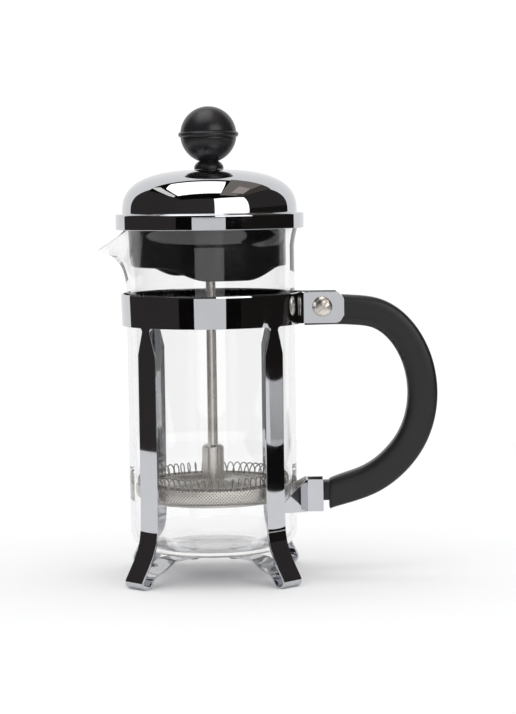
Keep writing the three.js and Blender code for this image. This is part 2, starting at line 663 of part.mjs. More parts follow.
// Black moulding under the dome: flange on the glass rim, skirt inside the glass, boss round the bush.
function lidInsert() {
  const flangeTop = FLANGE_Z + FLANGE_THICKNESS;
  const lobeZ = FLANGE_Z - INSERT_DEPTH - LOBE_DEPTH;
  const bossTop = DOME_TOP_Z - SHEET - GAP;
  const moulding = turnedRing([
    v2(BUSH_HOLE, FLANGE_Z),
    v2(INSERT_RADIUS - INSERT_WALL, FLANGE_Z),
    v2(INSERT_RADIUS - INSERT_WALL, lobeZ),
    v2(INSERT_RADIUS, lobeZ),
    v2(INSERT_RADIUS, FLANGE_Z),
    v2(LID_RADIUS - SHEET - GAP, FLANGE_Z),
    v2(LID_RADIUS - SHEET - GAP, flangeTop),
    v2(BUSH_HOLE + BOSS_WALL, flangeTop),
    v2(BUSH_HOLE + BOSS_WALL, bossTop),
    v2(BUSH_HOLE, bossTop),
  ], 48);
  return cut(moulding, lobeCutter(lobeZ));
}

// Everything below the skirt's edge away from the two lobes, as one slab seen from the side of the lobes.
function lobeCutter(lobeZ) {
  const reach = LID_RADIUS + CUT;
  const across = (degrees) => INSERT_RADIUS * Math.sin(degrees * Math.PI / 180);
  const wing = (sign) => [
    v2(sign * reach, lobeZ - CUT),
    v2(sign * across(LOBE_EDGE[0][0]), lobeZ - CUT),
    ...LOBE_EDGE.map(([degrees, share]) => v2(sign * across(degrees), lobeZ + share * LOBE_DEPTH)),
    v2(sign * reach, lobeZ + LOBE_DEPTH),
  ];
  return joined(side(wing(1), 2 * reach), side(wing(-1), 2 * reach)).rotateZ(LOBE_ANGLE);
}

const bush = () => ring(
  ROD_RADIUS + ROD_PLAY, BUSH_RADIUS, FLANGE_Z - CLIP_THICKNESS - GAP - BUSH_PAST_CLIP, DOME_TOP_Z, 24,
);

const clip = () => ring(BUSH_HOLE, CLIP_RADIUS, FLANGE_Z - GAP - CLIP_THICKNESS, FLANGE_Z - GAP, 24);

// ---- plunger ------------------------------------------------------------------------------------------

function knob() {
  const neckZ = KNOB_Z + COLLAR_HEIGHT;
  const low = Math.asin((neckZ - BALL_Z) / BALL_RADIUS);
  const edge = Math.asin(BEAD_HEIGHT / 2 / BALL_RADIUS);
  const insertZ = BALL_Z - INSERT_NUT_LENGTH / 2 - GAP;
  const insertTop = BALL_Z + INSERT_NUT_LENGTH / 2 + GAP;
  const insertHole = ROD_HOLE + INSERT_NUT_WALL + GAP;
  return turned([
    v2(ROD_HOLE, KNOB_Z),
    v2(COLLAR_RADIUS, KNOB_Z),
    ...COLLAR_CURVE.map(([wide, high]) => v2(wide * COLLAR_RADIUS, KNOB_Z + high * COLLAR_HEIGHT)),
    ...arc(0, BALL_Z, BALL_RADIUS, low, -edge, 5),
    v2(BEAD_RADIUS - BEAD_EDGE, BALL_Z - BEAD_HEIGHT / 2 + BEAD_EDGE),
    v2(BEAD_RADIUS, BALL_Z),
    v2(BEAD_RADIUS - BEAD_EDGE, BALL_Z + BEAD_HEIGHT / 2 - BEAD_EDGE),
    ...arc(0, BALL_Z, BALL_RADIUS, edge, Math.PI / 2, 6).slice(0, -1),
    v2(0, BALL_Z + BALL_RADIUS),
    v2(0, insertTop),
    v2(insertHole, insertTop),
    v2(insertHole, insertZ),
    v2(ROD_HOLE, insertZ),
    v2(ROD_HOLE, KNOB_Z),
  ], 28);
}

const knobInsert = () => ring(
  ROD_HOLE, ROD_HOLE + INSERT_NUT_WALL, BALL_Z - INSERT_NUT_LENGTH / 2, BALL_Z + INSERT_NUT_LENGTH / 2, 24,
);

const rod = () => post(ROD_RADIUS, SOCKET_Z + GAP, BALL_Z + INSERT_NUT_LENGTH / 2 - GAP, 24);

function coupling() {
  return turned([
    v2(0, BOSS_Z + STUD_INSET),
    v2(STUD_RADIUS, BOSS_Z + STUD_INSET),
    v2(STUD_RADIUS, COUPLING_Z),
    v2(COUPLING_RADIUS, COUPLING_Z),
    v2(COUPLING_RADIUS, COUPLING_TOP_Z - COUPLING_CHAMFER),
    v2(COUPLING_RADIUS - COUPLING_CHAMFER, COUPLING_TOP_Z),
    v2(ROD_HOLE, COUPLING_TOP_Z),
    v2(ROD_HOLE, SOCKET_Z),
    v2(0, SOCKET_Z),
  ], 32);
}

const holesRound = (count, radius, circle, bottom, top) => Array.from({ length: count }, (_, i) => (
  around(post(radius, bottom, top, 16).translate(circle, 0, 0), 2 * Math.PI * (i + 0.5) / count)
));

// Dished plate that carries the coil spring round its raised edge.
function spiralPlate() {
  const rimZ = COIL_Z - COIL_RADIUS / 3;
  const up = (share) => THREE.MathUtils.lerp(PLATE_Z, rimZ, share);
  const foot = PLATE_RADIUS - 0.26 * PLATE_DISH;
  const plate = turnedRing([
    v2(STUD_HOLE, PLATE_Z),
    v2(PLATE_FLAT_RADIUS, PLATE_Z),
    v2(foot, up(0.42)),
    v2(PLATE_RADIUS, up(0.8)),
    v2(PLATE_RADIUS, rimZ),
    v2(PLATE_RADIUS - PLATE_THICKNESS, rimZ),
    v2(PLATE_RADIUS - PLATE_THICKNESS, up(0.87)),
    v2(foot - PLATE_THICKNESS, up(0.55)),
    v2(PLATE_FLAT_RADIUS, PLATE_Z + PLATE_THICKNESS),
    v2(STUD_HOLE, PLATE_Z + PLATE_THICKNESS),
  ], 40);
  const circle = (COUPLING_RADIUS + PLATE_FLAT_RADIUS) / 2;
  return cut(plate, ...holesRound(PLATE_HOLES, PLATE_HOLE_RADIUS, circle, PLATE_Z - CUT, rimZ));
}

// Wire wound into a coil whose own middle line is a circle; its two ends butt against each other.
class CoilCurve extends THREE.Curve {
  getPoint(t, target = new THREE.Vector3()) {
    const open = 2 * COIL_WIRE / (2 * Math.PI * COIL_RADIUS * COIL_TURNS);
    const share = t * (1 - 2 * open);
    const turn = 2 * Math.PI * COIL_TURNS * share;
    const angle = 2 * Math.PI * share;
    const radius = COIL_CENTRE_RADIUS + COIL_RADIUS * Math.cos(turn);
    const z = COIL_Z + COIL_RADIUS * Math.sin(turn);
    return target.set(radius * Math.cos(angle), radius * Math.sin(angle), z);
  }
}

function coil() {
  const section = new THREE.Shape(arc(0, 0, COIL_WIRE, 0, 2 * Math.PI, 4).slice(0, -1));
  const steps = COIL_TURNS * COIL_STEPS;
  return facingOut(new THREE.ExtrudeGeometry(section, { extrudePath: new CoilCurve(), steps }));
}

// Mesh disc with its edge turned up round the outside of the spring.
function meshFilter() {
  const inner = MESH_CORNER - MESH_THICKNESS;
  const bendR = MESH_RADIUS - MESH_CORNER;
  const bendZ = FILTER_Z + MESH_CORNER;
  return turnedRing([
    v2(STUD_HOLE, FILTER_Z),
    ...arc(bendR, bendZ, MESH_CORNER, -Math.PI / 2, 0, 3),
    v2(MESH_RADIUS, FILTER_Z + MESH_HEIGHT),
    v2(MESH_RADIUS - MESH_THICKNESS, FILTER_Z + MESH_HEIGHT),
    ...arc(bendR, bendZ, inner, 0, -Math.PI / 2, 3),
    v2(STUD_HOLE, FILTER_Z + MESH_THICKNESS),
  ], 48);
}

function crossPlate() {
  const plate = turnedRing([
    v2(STUD_HOLE, BOSS_Z),
    v2(CROSS_BOSS_RADIUS, BOSS_Z),
    v2(CROSS_BOSS_RADIUS, CROSS_Z),
    v2(CROSS_RADIUS, CROSS_Z),
    v2(CROSS_RADIUS, CROSS_Z + CROSS_THICKNESS),
    v2(STUD_HOLE, CROSS_Z + CROSS_THICKNESS),
  ], 40);
  const top = CROSS_Z + CROSS_THICKNESS + CUT;
  return cut(plate, ...holesRound(CROSS_HOLES, CROSS_HOLE_RADIUS, CROSS_HOLE_CIRCLE, CROSS_Z - CUT, top));
}

// ---- assembly -----------------------------------------------------------------------------------------

add("beaker", beaker(), glass());
add("cage_band", band(), chrome());
LEG_ANGLES.forEach((angle, i) => {
  add(`cage_leg_${i + 1}`, around(leg(), angle), chrome());
  add(`base_rivet_${i + 1}`, around(rivet(), angle), steel());
});
add("base_disc", baseDisc(), chrome());
add("handle", handle(), blackPlastic());
add("handle_screw", slottedScrew(), nickel());
add("handle_nut", hexNut(), nickel());
add("handle_bracket", bracket(), chrome());
add("lid_dome", dome(), chrome());
add("lid_insert", lidInsert(), glossPlastic());
add("lid_clip", clip(), steel());
add("rod_bush", bush(), blackPlastic());
add("knob", knob(), blackPlastic());
add("knob_insert", knobInsert(), brass());
add("plunger_rod", rod(), steel());
add("rod_coupling", coupling(), steel());
add("spiral_plate", spiralPlate(), steel());
add("coil_spring", coil(), steel());
add("mesh_filter", meshFilter(), steel());
add("cross_plate", crossPlate(), steel());

const bounds = new THREE.Box3().setFromObject(press);
press.position.set(-(bounds.min.x + bounds.max.x) / 2, 0, -bounds.min.z);
press.updateMatrixWorld(true);

export default press;
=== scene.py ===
# %% [markdown]
# # A small french press
# A french press is a glass beaker in a metal cage, with a lid that carries a plunger. This lesson builds the
# fine surfaces round a measured frame: every size below is read from the frame or is a real size in
# millimetres. The frame already holds each sub-part as a plain faceted solid, with its joints.

# %% Frame and units
import math

import bmesh
import bpy
from mathutils import Matrix, Vector


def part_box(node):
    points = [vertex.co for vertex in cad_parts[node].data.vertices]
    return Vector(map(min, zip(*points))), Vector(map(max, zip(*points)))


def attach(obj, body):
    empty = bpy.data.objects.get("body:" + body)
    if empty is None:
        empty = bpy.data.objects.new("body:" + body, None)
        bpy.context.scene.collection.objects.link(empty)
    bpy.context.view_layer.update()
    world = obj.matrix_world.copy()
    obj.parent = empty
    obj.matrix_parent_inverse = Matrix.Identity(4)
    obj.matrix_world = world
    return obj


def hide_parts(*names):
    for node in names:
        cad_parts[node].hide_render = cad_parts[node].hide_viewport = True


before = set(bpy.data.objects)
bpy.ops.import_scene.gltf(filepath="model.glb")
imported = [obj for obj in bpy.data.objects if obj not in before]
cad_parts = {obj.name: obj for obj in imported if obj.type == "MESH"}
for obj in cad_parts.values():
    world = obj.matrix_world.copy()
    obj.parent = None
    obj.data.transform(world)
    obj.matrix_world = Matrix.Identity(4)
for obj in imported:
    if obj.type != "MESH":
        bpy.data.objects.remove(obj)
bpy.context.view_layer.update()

MM = 0.001


def middle(node):
    low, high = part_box(node)
    return (low + high) / 2


AXIS_X = middle("base_disc").x / MM       # the beaker's axis, in mm
print("beaker axis at x =", round(AXIS_X, 2), "mm")

# %% [markdown]
# ## Camera
# A long lens a little above the band's height, level enough that the press hardly tapers. The small roll
# leans the press by less than a degree, as a hand-set camera does.

# %% Camera
CAMERA_FROM_AXIS = Vector((18.5, -900.0, 165.9))   # mm
CAMERA_PITCH = math.radians(4.71)
CAMERA_ROLL = math.radians(0.756)
CAMERA_YAW = math.radians(0.056)

camera = bpy.data.objects.new("camera", bpy.data.cameras.new("camera"))
bpy.context.scene.collection.objects.link(camera)
camera.data.sensor_width = 36
camera.data.lens = 108.9
camera.location = (CAMERA_FROM_AXIS + Vector((AXIS_X, 0, 0))) * MM
turn = Matrix.Rotation(-CAMERA_YAW, 4, "Z") @ Matrix.Rotation(math.pi / 2 - CAMERA_PITCH, 4, "X")
camera.matrix_world = Matrix.Translation(camera.location) @ turn @ Matrix.Rotation(-CAMERA_ROLL, 4, "Z")
camera.data.clip_end = 50
bpy.context.scene.camera = camera
bpy.context.scene.view_settings.view_transform = "Standard"

# %% [markdown]
# ## Node helper
# Every finish is a node material. One function adds a node, sets its values and links its inputs, so a
# material reads as a short list. Colours are written as sRGB hex and turned to linear light.


# %% Node helper
def linear(hex_colour):
    channels = [int(hex_colour[i:i + 2], 16) / 255 for i in (1, 3, 5)]
    return [c / 12.92 if c < 0.04045 else ((c + 0.055) / 1.055) ** 2.4 for c in channels] + [1.0]


def new_material(name):
    material = bpy.data.materials.new(name)
    material.use_nodes = True
    material.node_tree.nodes.clear()
    return material, material.node_tree


def add_node(tree, kind, settings=None, **inputs):
    """Adds a node with its own settings. Inputs are values or sockets, by name or as in_0, in_1."""
    node = tree.nodes.new(kind)
    for key, value in (settings or {}).items():
        setattr(node, key, value)
    for key, value in inputs.items():
        socket = node.inputs[int(key[3:])] if key.startswith("in_") else node.inputs[key.replace("_", " ")]
        if isinstance(value, bpy.types.NodeSocket):
            tree.links.new(value, socket)
        else:
            socket.default_value = value
    return node


def finished(tree, shader):
    add_node(tree, "ShaderNodeOutputMaterial", Surface=shader)


def centred(tree):
    """Object coordinates with the beaker's axis at the middle."""
    place = add_node(tree, "ShaderNodeTexCoord").outputs["Object"]
    return add_node(tree, "ShaderNodeMapping", Vector=place, Location=(-AXIS_X * MM, 0, 0)).outputs[0]


def ramp(tree, value, low, high, at_low=0.0, at_high=1.0):
    """The value's stretch from at_low to at_high becomes low to high, as numbers."""
    return add_node(
        tree, "ShaderNodeMapRange", in_0=value, in_1=at_low, in_2=at_high, in_3=low, in_4=high
    ).outputs[0]


def tinted(tree, value, dark, light):
    mix = add_node(tree, "ShaderNodeMix", {"data_type": "RGBA"}, in_0=value)
    mix.inputs[6].default_value = linear(dark)
    mix.inputs[7].default_value = linear(light)
    return mix.outputs[2]


def per_mm(size_mm):
    """A noise texture's scale for features of this size."""
    return 1 / (size_mm * MM)


# %% [markdown]
# ## Chrome
# Chromed sheet is polished, plated and handled. It mirrors nearly everything, so what tells the eye that it
# is chrome is a faint waviness of the sheet under the plating and a very light haze of wiping marks. A plain
# metallic shader would do for a ball bearing; sheet needs the wave, so it is a bump of slow noise.


# %% Chrome
def polished_chrome():
    material, tree = new_material("polished_chrome_on_steel")
    place = centred(tree)
    haze = add_node(tree, "ShaderNodeTexNoise", Vector=place, Scale=per_mm(9), Detail=5.0, Roughness=0.6)
    wave = add_node(tree, "ShaderNodeTexNoise", Vector=place, Scale=per_mm(16), Detail=1.0)
    bump = add_node(tree, "ShaderNodeBump", Height=wave.outputs[0], Strength=0.25, Distance=0.03 * MM)
    shader = add_node(
        tree, "ShaderNodeBsdfPrincipled", Metallic=1.0,
        Base_Color=tinted(tree, haze.outputs[0], "#c8cacd", "#d2d3d7"),
        Roughness=ramp(tree, haze.outputs[0], 0.012, 0.04, 0.3, 0.7),
        Normal=bump.outputs[0],
    )
    finished(tree, shader.outputs[0])
    return material


CHROME = polished_chrome()

# %% [markdown]
# ## Stainless steel, drawn and turned
# The rod and its coupling are drawn bar, so very fine lines run along them and the light on them stays in
# upright streaks. The filter plates are stamped from sheet with a satin finish that has no direction. One
# function makes both: the noise is drawn out along the bar, or is the same in all directions.


# %% Steel
def steel(name, stretch, dark, light, rough):
    """Satin stainless steel. stretch is how far the grain is drawn out along X, Y and Z, in mm."""
    material, tree = new_material(name)
    scale = tuple(per_mm(size) for size in stretch)
    place = add_node(tree, "ShaderNodeMapping", Vector=centred(tree), Scale=scale).outputs[0]
    grain = add_node(tree, "ShaderNodeTexNoise", Vector=place, Scale=1.0, Detail=3.0, Roughness=0.6)
    cloud = add_node(tree, "ShaderNodeTexNoise", Vector=centred(tree), Scale=per_mm(12), Detail=2.0)
    bump = add_node(tree, "ShaderNodeBump", Height=grain.outputs[0], Strength=0.1, Distance=0.01 * MM)
    shader = add_node(
        tree, "ShaderNodeBsdfPrincipled", Metallic=1.0,
        Base_Color=tinted(tree, cloud.outputs[0], dark, light),
        Roughness=ramp(tree, grain.outputs[0], rough - 0.06, rough + 0.08, 0.3, 0.7),
        Normal=bump.outputs[0],
    )
    finished(tree, shader.outputs[0])
    return material


DRAWN_STEEL = steel("drawn_stainless_bar", (0.4, 0.4, 40), "#d6d1ca", "#e4e0da", 0.22)
STAMPED_STEEL = steel("stamped_stainless_sheet", (0.6, 0.6, 0.6), "#b4b0ab", "#cecbc6", 0.3)
SPRING_WIRE = steel("stainless_spring_wire", (0.5, 0.5, 0.5), "#96918c", "#b4b0ab", 0.24)
WARM_NICKEL = steel("nickel_plated_screw", (2, 2, 2), "#e6dfd4", "#f0eae0", 0.3)
BRASS = steel("turned_brass", (3, 3, 0.3), "#a9853a", "#c9a659", 0.3)

# %% [markdown]
# ## Black plastics
# The grip and the knob are polypropylene moulded in a spark-eroded tool, which leaves a very fine soft
# grain; the knob has been handled and shines a little more. The lid's insert is moulded in a polished tool,
# so it shines and only shows faint flow marks.


# %% Black plastics
def moulded_plastic(name, dark, light, rough, grain_mm, grain_height):
    material, tree = new_material(name)
    place = centred(tree)
    grain = add_node(tree, "ShaderNodeTexNoise", Vector=place, Scale=per_mm(grain_mm), Detail=2.0)
    wear = add_node(tree, "ShaderNodeTexNoise", Vector=place, Scale=per_mm(14), Detail=4.0, Roughness=0.55)
    bump = add_node(tree, "ShaderNodeBump", Height=grain.outputs[0], Strength=0.5, Distance=grain_height * MM)
    shader = add_node(
        tree, "ShaderNodeBsdfPrincipled", IOR=1.49,
        Base_Color=tinted(tree, wear.outputs[0], dark, light),
        Roughness=ramp(tree, wear.outputs[0], rough - 0.05, rough + 0.06, 0.3, 0.7),
        Normal=bump.outputs[0],
    )
    finished(tree, shader.outputs[0])
    return material


SATIN_PP = moulded_plastic("black_polypropylene_spark_grain", "#171415", "#1e1b1c", 0.4, 0.35, 0.02)
KNOB_PP = moulded_plastic("black_polypropylene_handled", "#19171a", "#221f22", 0.33, 0.35, 0.015)
GLOSS_PP = moulded_plastic("black_polypropylene_polished", "#0f0f10", "#151516", 0.12, 6.0, 0.02)

# %% [markdown]
# ## Woven wire cloth
# The filter is plain-woven stainless wire, cut on the bias, so on the turned-up edge the wires run at 45
# degrees. Real cloth here has about 5 wires in a millimetre, too fine to show, so the weave is drawn with a
# wire every millimetre. On the edge the pattern is laid round the filter; on the flat it is laid in X and Y.


# %% Woven wire cloth
CLOTH_PITCH = 1.0                          # mm from wire to wire, as drawn


def wire_cloth(name, round_the_edge, radius_mm=0.0):
    material, tree = new_material(name)
    place = centred(tree)
    split = add_node(tree, "ShaderNodeSeparateXYZ", Vector=place)
    if round_the_edge:
        angle = add_node(tree, "ShaderNodeMath", {"operation": "ARCTAN2"},
                         in_0=split.outputs[1], in_1=split.outputs[0])
        across = add_node(tree, "ShaderNodeMath", {"operation": "MULTIPLY"},
                          in_0=angle.outputs[0], in_1=radius_mm * MM).outputs[0]
        place = add_node(tree, "ShaderNodeCombineXYZ", X=across, Y=split.outputs[2]).outputs[0]
    on_the_bias = add_node(tree, "ShaderNodeMapping", Vector=place, Rotation=(0, 0, math.radians(45)))
    waves = [
        add_node(
            tree, "ShaderNodeTexWave", {"bands_direction": direction, "wave_profile": "SIN"},
            Vector=on_the_bias.outputs[0], Scale=per_mm(CLOTH_PITCH) * math.pi / 10,
        ).outputs[1]
        for direction in ("X", "Y")
    ]
    higher = add_node(tree, "ShaderNodeMath", {"operation": "MAXIMUM"}, in_0=waves[0], in_1=waves[1])
    weave = higher.outputs[0]
    bump = add_node(tree, "ShaderNodeBump", Height=weave, Strength=1.0, Distance=0.14 * MM)
    shader = add_node(
        tree, "ShaderNodeBsdfPrincipled", Metallic=1.0,
        Base_Color=tinted(tree, weave, "#6f6861", "#e8e3dc"),
        Roughness=ramp(tree, weave, 0.5, 0.34),
        Normal=bump.outputs[0],
    )
    finished(tree, shader.outputs[0])
    return material


# %% [markdown]
# ## Borosilicate glass
# The beaker is blown and pressed borosilicate: clear, smooth, IOR 1.47. It bends the camera's rays, but lets
# the light that falls on the floor pass straight, so it casts no black shadow. Light that would be trapped
# inside the wall is let go as well, which keeps the rim, the spout and the base bright and clean.


# %% Borosilicate glass
def borosilicate():
    material, tree = new_material("clear_borosilicate_glass")
    ripple = add_node(tree, "ShaderNodeTexNoise", Vector=centred(tree), Scale=per_mm(22), Detail=1.0)
    bump = add_node(tree, "ShaderNodeBump", Height=ripple.outputs[0], Strength=0.04, Distance=0.04 * MM)
    shader = add_node(
        tree, "ShaderNodeBsdfPrincipled", Base_Color=linear("#fefefe"), Roughness=0.0, IOR=1.47,
        Transmission_Weight=1.0, Normal=bump.outputs[0],
    )
    clear = add_node(tree, "ShaderNodeBsdfTransparent", Color=linear("#fafafa"))
    path = add_node(tree, "ShaderNodeLightPath")
    mirror = add_node(tree, "ShaderNodeFresnel", IOR=1.47).outputs[0]
    trapped = add_node(tree, "ShaderNodeMath", {"operation": "GREATER_THAN"}, in_0=mirror, in_1=0.99)
    let_go = add_node(tree, "ShaderNodeMath", {"operation": "MAXIMUM"},
                      in_0=path.outputs["Is Shadow Ray"], in_1=trapped.outputs[0])
    mix = add_node(
        tree, "ShaderNodeMixShader", in_0=let_go.outputs[0], in_1=shader.outputs[0], in_2=clear.outputs[0],
    )
    finished(tree, mix.outputs[0])
    return material


GLASS = borosilicate()

# %% [markdown]
# ## Helpers for the pieces
# Most of a press is turned: an outline of radius and height, spun round the beaker's axis. `rounded` fillets
# the outline's corners first, because a real edge always catches a line of light. Corners that should be
# sharper give their own radius.


# %% Helpers for the pieces
def rounded(points, radius, steps=4, closed=False):
    """The outline with each corner filleted. A point may carry its own radius as a third number."""
    out = []
    count = len(points)
    for i, point in enumerate(points):
        here = Vector(point[:2])
        own = point[2] if len(point) > 2 else radius
        if own <= 0 or (not closed and i in (0, count - 1)):
            out.append(here)
            continue
        before = Vector(points[i - 1][:2]) - here
        after = Vector(points[(i + 1) % count][:2]) - here
        reach = min(own, before.length * 0.48, after.length * 0.48)
        a = here + before.normalized() * reach
        b = here + after.normalized() * reach
        for k in range(steps + 1):
            t = k / steps
            out.append(a * (1 - t) ** 2 + here * 2 * t * (1 - t) + b * t ** 2)
    return out


def arc(x, y, radius, start, end, steps):
    """Points of an arc, angles in degrees."""
    angles = [math.radians(start + (end - start) * i / steps) for i in range(steps + 1)]
    return [(x + radius * math.cos(a), y + radius * math.sin(a)) for a in angles]


def piece(name, bm, materials, body, replaced=()):
    """Makes the bmesh an object of its own and tells the frame where it belongs."""
    mesh = bpy.data.meshes.new(name)
    bm.to_mesh(mesh)
    bm.free()
    made = bpy.data.objects.new(name, mesh)
    bpy.context.scene.collection.objects.link(made)
    for material in materials:
        mesh.materials.append(material)
    mesh.shade_smooth()
    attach(made, body)
    if replaced:
        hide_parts(*replaced)
    print(f"{name}: {len(mesh.polygons)} faces")
    return made


def weighted(made):
    """Large faces keep their own normals, so flats stay flat beside fine fillets."""
    made.modifiers.new("flats", "WEIGHTED_NORMAL").keep_sharp = True
    return made


def spun(outline, steps=160, closed=False):
    """Outline in mm of radius and height, spun round the beaker's axis into a bmesh."""
    bm = bmesh.new()
    verts = [bm.verts.new(((AXIS_X + p[0]) * MM, 0, p[1] * MM)) for p in outline]
    pairs = list(zip(verts, verts[1:])) + ([(verts[-1], verts[0])] if closed else [])
    edges = [bm.edges.new(pair) for pair in pairs]
    bmesh.ops.spin(
        bm, geom=verts + edges, cent=(AXIS_X * MM, 0, 0), axis=(0, 0, 1), angle=2 * math.pi,
        steps=steps, use_merge=True,
    )
    bmesh.ops.remove_doubles(bm, verts=bm.verts, dist=1e-7)
    bmesh.ops.recalc_face_normals(bm, faces=bm.faces)
    return bm


def turned(name, outline, material, body, replaced, radius=0.3, steps=160, closed=True):
    bm = spun(rounded(outline, radius, closed=closed), steps, closed)
    return weighted(piece(name, bm, [material], body, replaced))


def box_mm(node):
    """A frame node's lowest and highest corner in mm, X counted from the beaker's axis."""
    low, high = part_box(node)
    shift = Vector((AXIS_X, 0, 0))
    return low / MM - shift, high / MM - shift


# %% [markdown]
# ## Glass beaker
# A real beaker is blown in a mould, its rim is flared and fire-polished, and the spout is pulled while the
# glass is soft. So the wall is spun first and the spout is then a smooth pull of the spun wall: each point
# keeps its place in the wall's thickness and follows a curve that leans out to the tip.

# %% Beaker sizes
GLASS_LOW, GLASS_HIGH = box_mm("beaker")
WALL_RADIUS = 35.0
WALL = 1.8
CORNER = 9.0
BASE_Z = GLASS_LOW.z
RIM_Z = GLASS_HIGH.z + 0.03
FLARE, FLARE_HEIGHT = 1.8, 12.0
SPOUT_HEIGHT, SPOUT_REACH, SPOUT_DROP = 29.0, 11.0, 12.6
SPOUT_HALF_ANGLE = math.radians(34)
print("beaker", round(BASE_Z, 2), "to", round(RIM_Z, 2), "mm, spout reach", SPOUT_REACH, "mm")


# %% Beaker wall and spout
def smoothstep(value):
    value = min(max(value, 0.0), 1.0)
    return value * value * (3 - 2 * value)


def wall_point(t):
    z = RIM_Z - WALL / 2 - SPOUT_HEIGHT * (1 - t)
    return Vector((WALL_RADIUS + FLARE * smoothstep((z - RIM_Z + FLARE_HEIGHT) / FLARE_HEIGHT), z))


def spout_point(t):
    start, tip = wall_point(0), Vector((WALL_RADIUS + SPOUT_REACH, RIM_Z - SPOUT_DROP))
    lean_a = Vector((start.x + 0.3, start.y + 0.36 * SPOUT_HEIGHT))
    lean_b = Vector((start.x + 0.28 * SPOUT_REACH, tip.y - 2.3))
    u = 1 - t
    return start * u ** 3 + lean_a * 3 * u * u * t + lean_b * 3 * u * t * t + tip * t ** 3


def pulled(t, share):
    wall, spout = wall_point(t), spout_point(t)
    return Vector((wall.x + (spout.x - wall.x) * share ** 2, wall.y + (spout.y - wall.y) * share))


def glass_point(t, depth, beyond, share):
    """A point at t up the wall, a share depth of the way through it, and beyond the rim."""
    along = (pulled(min(t + 0.02, 1), share) - pulled(max(t - 0.02, 0), share)).normalized()
    inward = Vector((-along.y, along.x))
    wall = WALL * (1 - 0.25 * share * t)
    return pulled(t, share) + inward * wall * depth + along * wall * beyond


def beaker_stations():
    """t, depth and beyond of each point of the wall that the spout may move, from outside over the rim."""
    heights = [i / 22 for i in range(23)]
    rim = [(1.0, 0.5 - 0.5 * math.cos(a), 0.5 * math.sin(a)) for a in (math.pi * i / 8 for i in range(1, 8))]
    return [(t, 0.0, 0.0) for t in heights] + rim + [(t, 1.0, 0.0) for t in reversed(heights)]


def beaker():
    corner_x, corner_z = WALL_RADIUS - CORNER, BASE_Z + CORNER
    stations = beaker_stations()
    moved = [glass_point(*station, 0.0) for station in stations]
    under = [(0, BASE_Z + 0.5), (10, BASE_Z + 0.3), (20, BASE_Z + 0.05)]
    outline = under + arc(corner_x, corner_z, CORNER, -90, 0, 14) + moved
    outline += arc(corner_x, corner_z, CORNER - WALL, 0, -90, 14) + [(0, BASE_Z + WALL)]
    bm = spun([tuple(p) for p in outline], steps=180)
    for vert in bm.verts:
        out = Vector((vert.co.x / MM - AXIS_X, vert.co.y / MM))
        away = abs(abs(math.atan2(out.y, out.x)) - math.pi)
        if away >= SPOUT_HALF_ANGLE or out.length < WALL_RADIUS - WALL - 1:
            continue
        here = Vector((out.length, vert.co.z / MM))
        best = min(range(len(moved)), key=lambda i: (moved[i] - here).length_squared)
        if (moved[best] - here).length > 0.01:
            continue
        share = (1 + math.cos(math.pi * away / SPOUT_HALF_ANGLE)) / 2
        there = glass_point(*stations[best], share)
        out = out.normalized() * there.x
        vert.co = ((AXIS_X + out.x) * MM, out.y * MM, there.y * MM)
    bmesh.ops.recalc_face_normals(bm, faces=bm.faces)
    return piece("beaker_glass", bm, [GLASS], "beaker", ["beaker"])


beaker()

# %% [markdown]
# ## Cage
# The cage is one stamped steel blank, rolled and bent, then chromed. It is made the same way here: a flat
# blank is extruded from an edge, with four tapered tongues hanging from it, and every point is then rolled
# round the beaker and bent along the leg's side line. Solidify gives it the sheet's thickness.

# %% Cage sizes
BAND_LOW, BAND_HIGH = box_mm("cage_band")
GRIP_LOW, GRIP_HIGH = box_mm("handle")
SHEET = 0.8
BAND_RADIUS = 37.0                          # middle of the sheet
EAR_BEND = 2.9                              # middle of the sheet, where the band turns into an ear
EAR_Y = (GRIP_HIGH.y - GRIP_LOW.y) / 2 + 0.3 + SHEET / 2
BAND_CONE = 0.4                             # less radius at the band's lower edge
CONE_START = 12                             # from the bend to where the band has its full cone
CURL, CURL_HEIGHT = 0.13, 1.8               # how far the upper edge turns in, and over what height
LEG_RADIUS = BAND_RADIUS - BAND_CONE
LEG_HALF, NECK_HALF, NECK_FILLET, NECK_LENGTH = 5.1, 2.2, 1.5, 11.0
LEG_ROUND, LEG_FLAT = 70, 84                 # down the leg: the last round place, and the first flat one
LEG_ANGLES = [math.radians(a) for a in (45, 135, 225, 315)]
EAR_CUT = 3.2                               # size of the ears' cut corners
BAND_HEIGHT = BAND_HIGH.z - BAND_LOW.z

bend_x = math.sqrt((BAND_RADIUS + EAR_BEND) ** 2 - (EAR_Y + EAR_BEND) ** 2)
bend_angle = math.atan2(EAR_Y + EAR_BEND, bend_x)
EAR_LENGTH = BAND_HIGH.x - bend_x
BEND_LENGTH = EAR_BEND * (math.pi / 2 - bend_angle)
RING_LENGTH = BAND_RADIUS * (2 * math.pi - 2 * bend_angle)
BLANK_LENGTH = 2 * (EAR_LENGTH + BEND_LENGTH) + RING_LENGTH
print("blank strip", round(BLANK_LENGTH, 1), "mm long")


# %% Rolling the blank
def rolled(u):
    """Where a length u along the blank ends up, seen from above."""
    if u > BLANK_LENGTH / 2:
        x, y = rolled(BLANK_LENGTH - u)
        return x, -y
    if u < EAR_LENGTH:
        return BAND_HIGH.x - u, EAR_Y
    if u < EAR_LENGTH + BEND_LENGTH:
        share = (u - EAR_LENGTH) / BEND_LENGTH
        angle = 1.5 * math.pi - share * (math.pi / 2 - bend_angle)
        return bend_x + EAR_BEND * math.cos(angle), EAR_Y + EAR_BEND + EAR_BEND * math.sin(angle)
    angle = bend_angle + (u - EAR_LENGTH - BEND_LENGTH) / BAND_RADIUS
    return BAND_RADIUS * math.cos(angle), BAND_RADIUS * math.sin(angle)


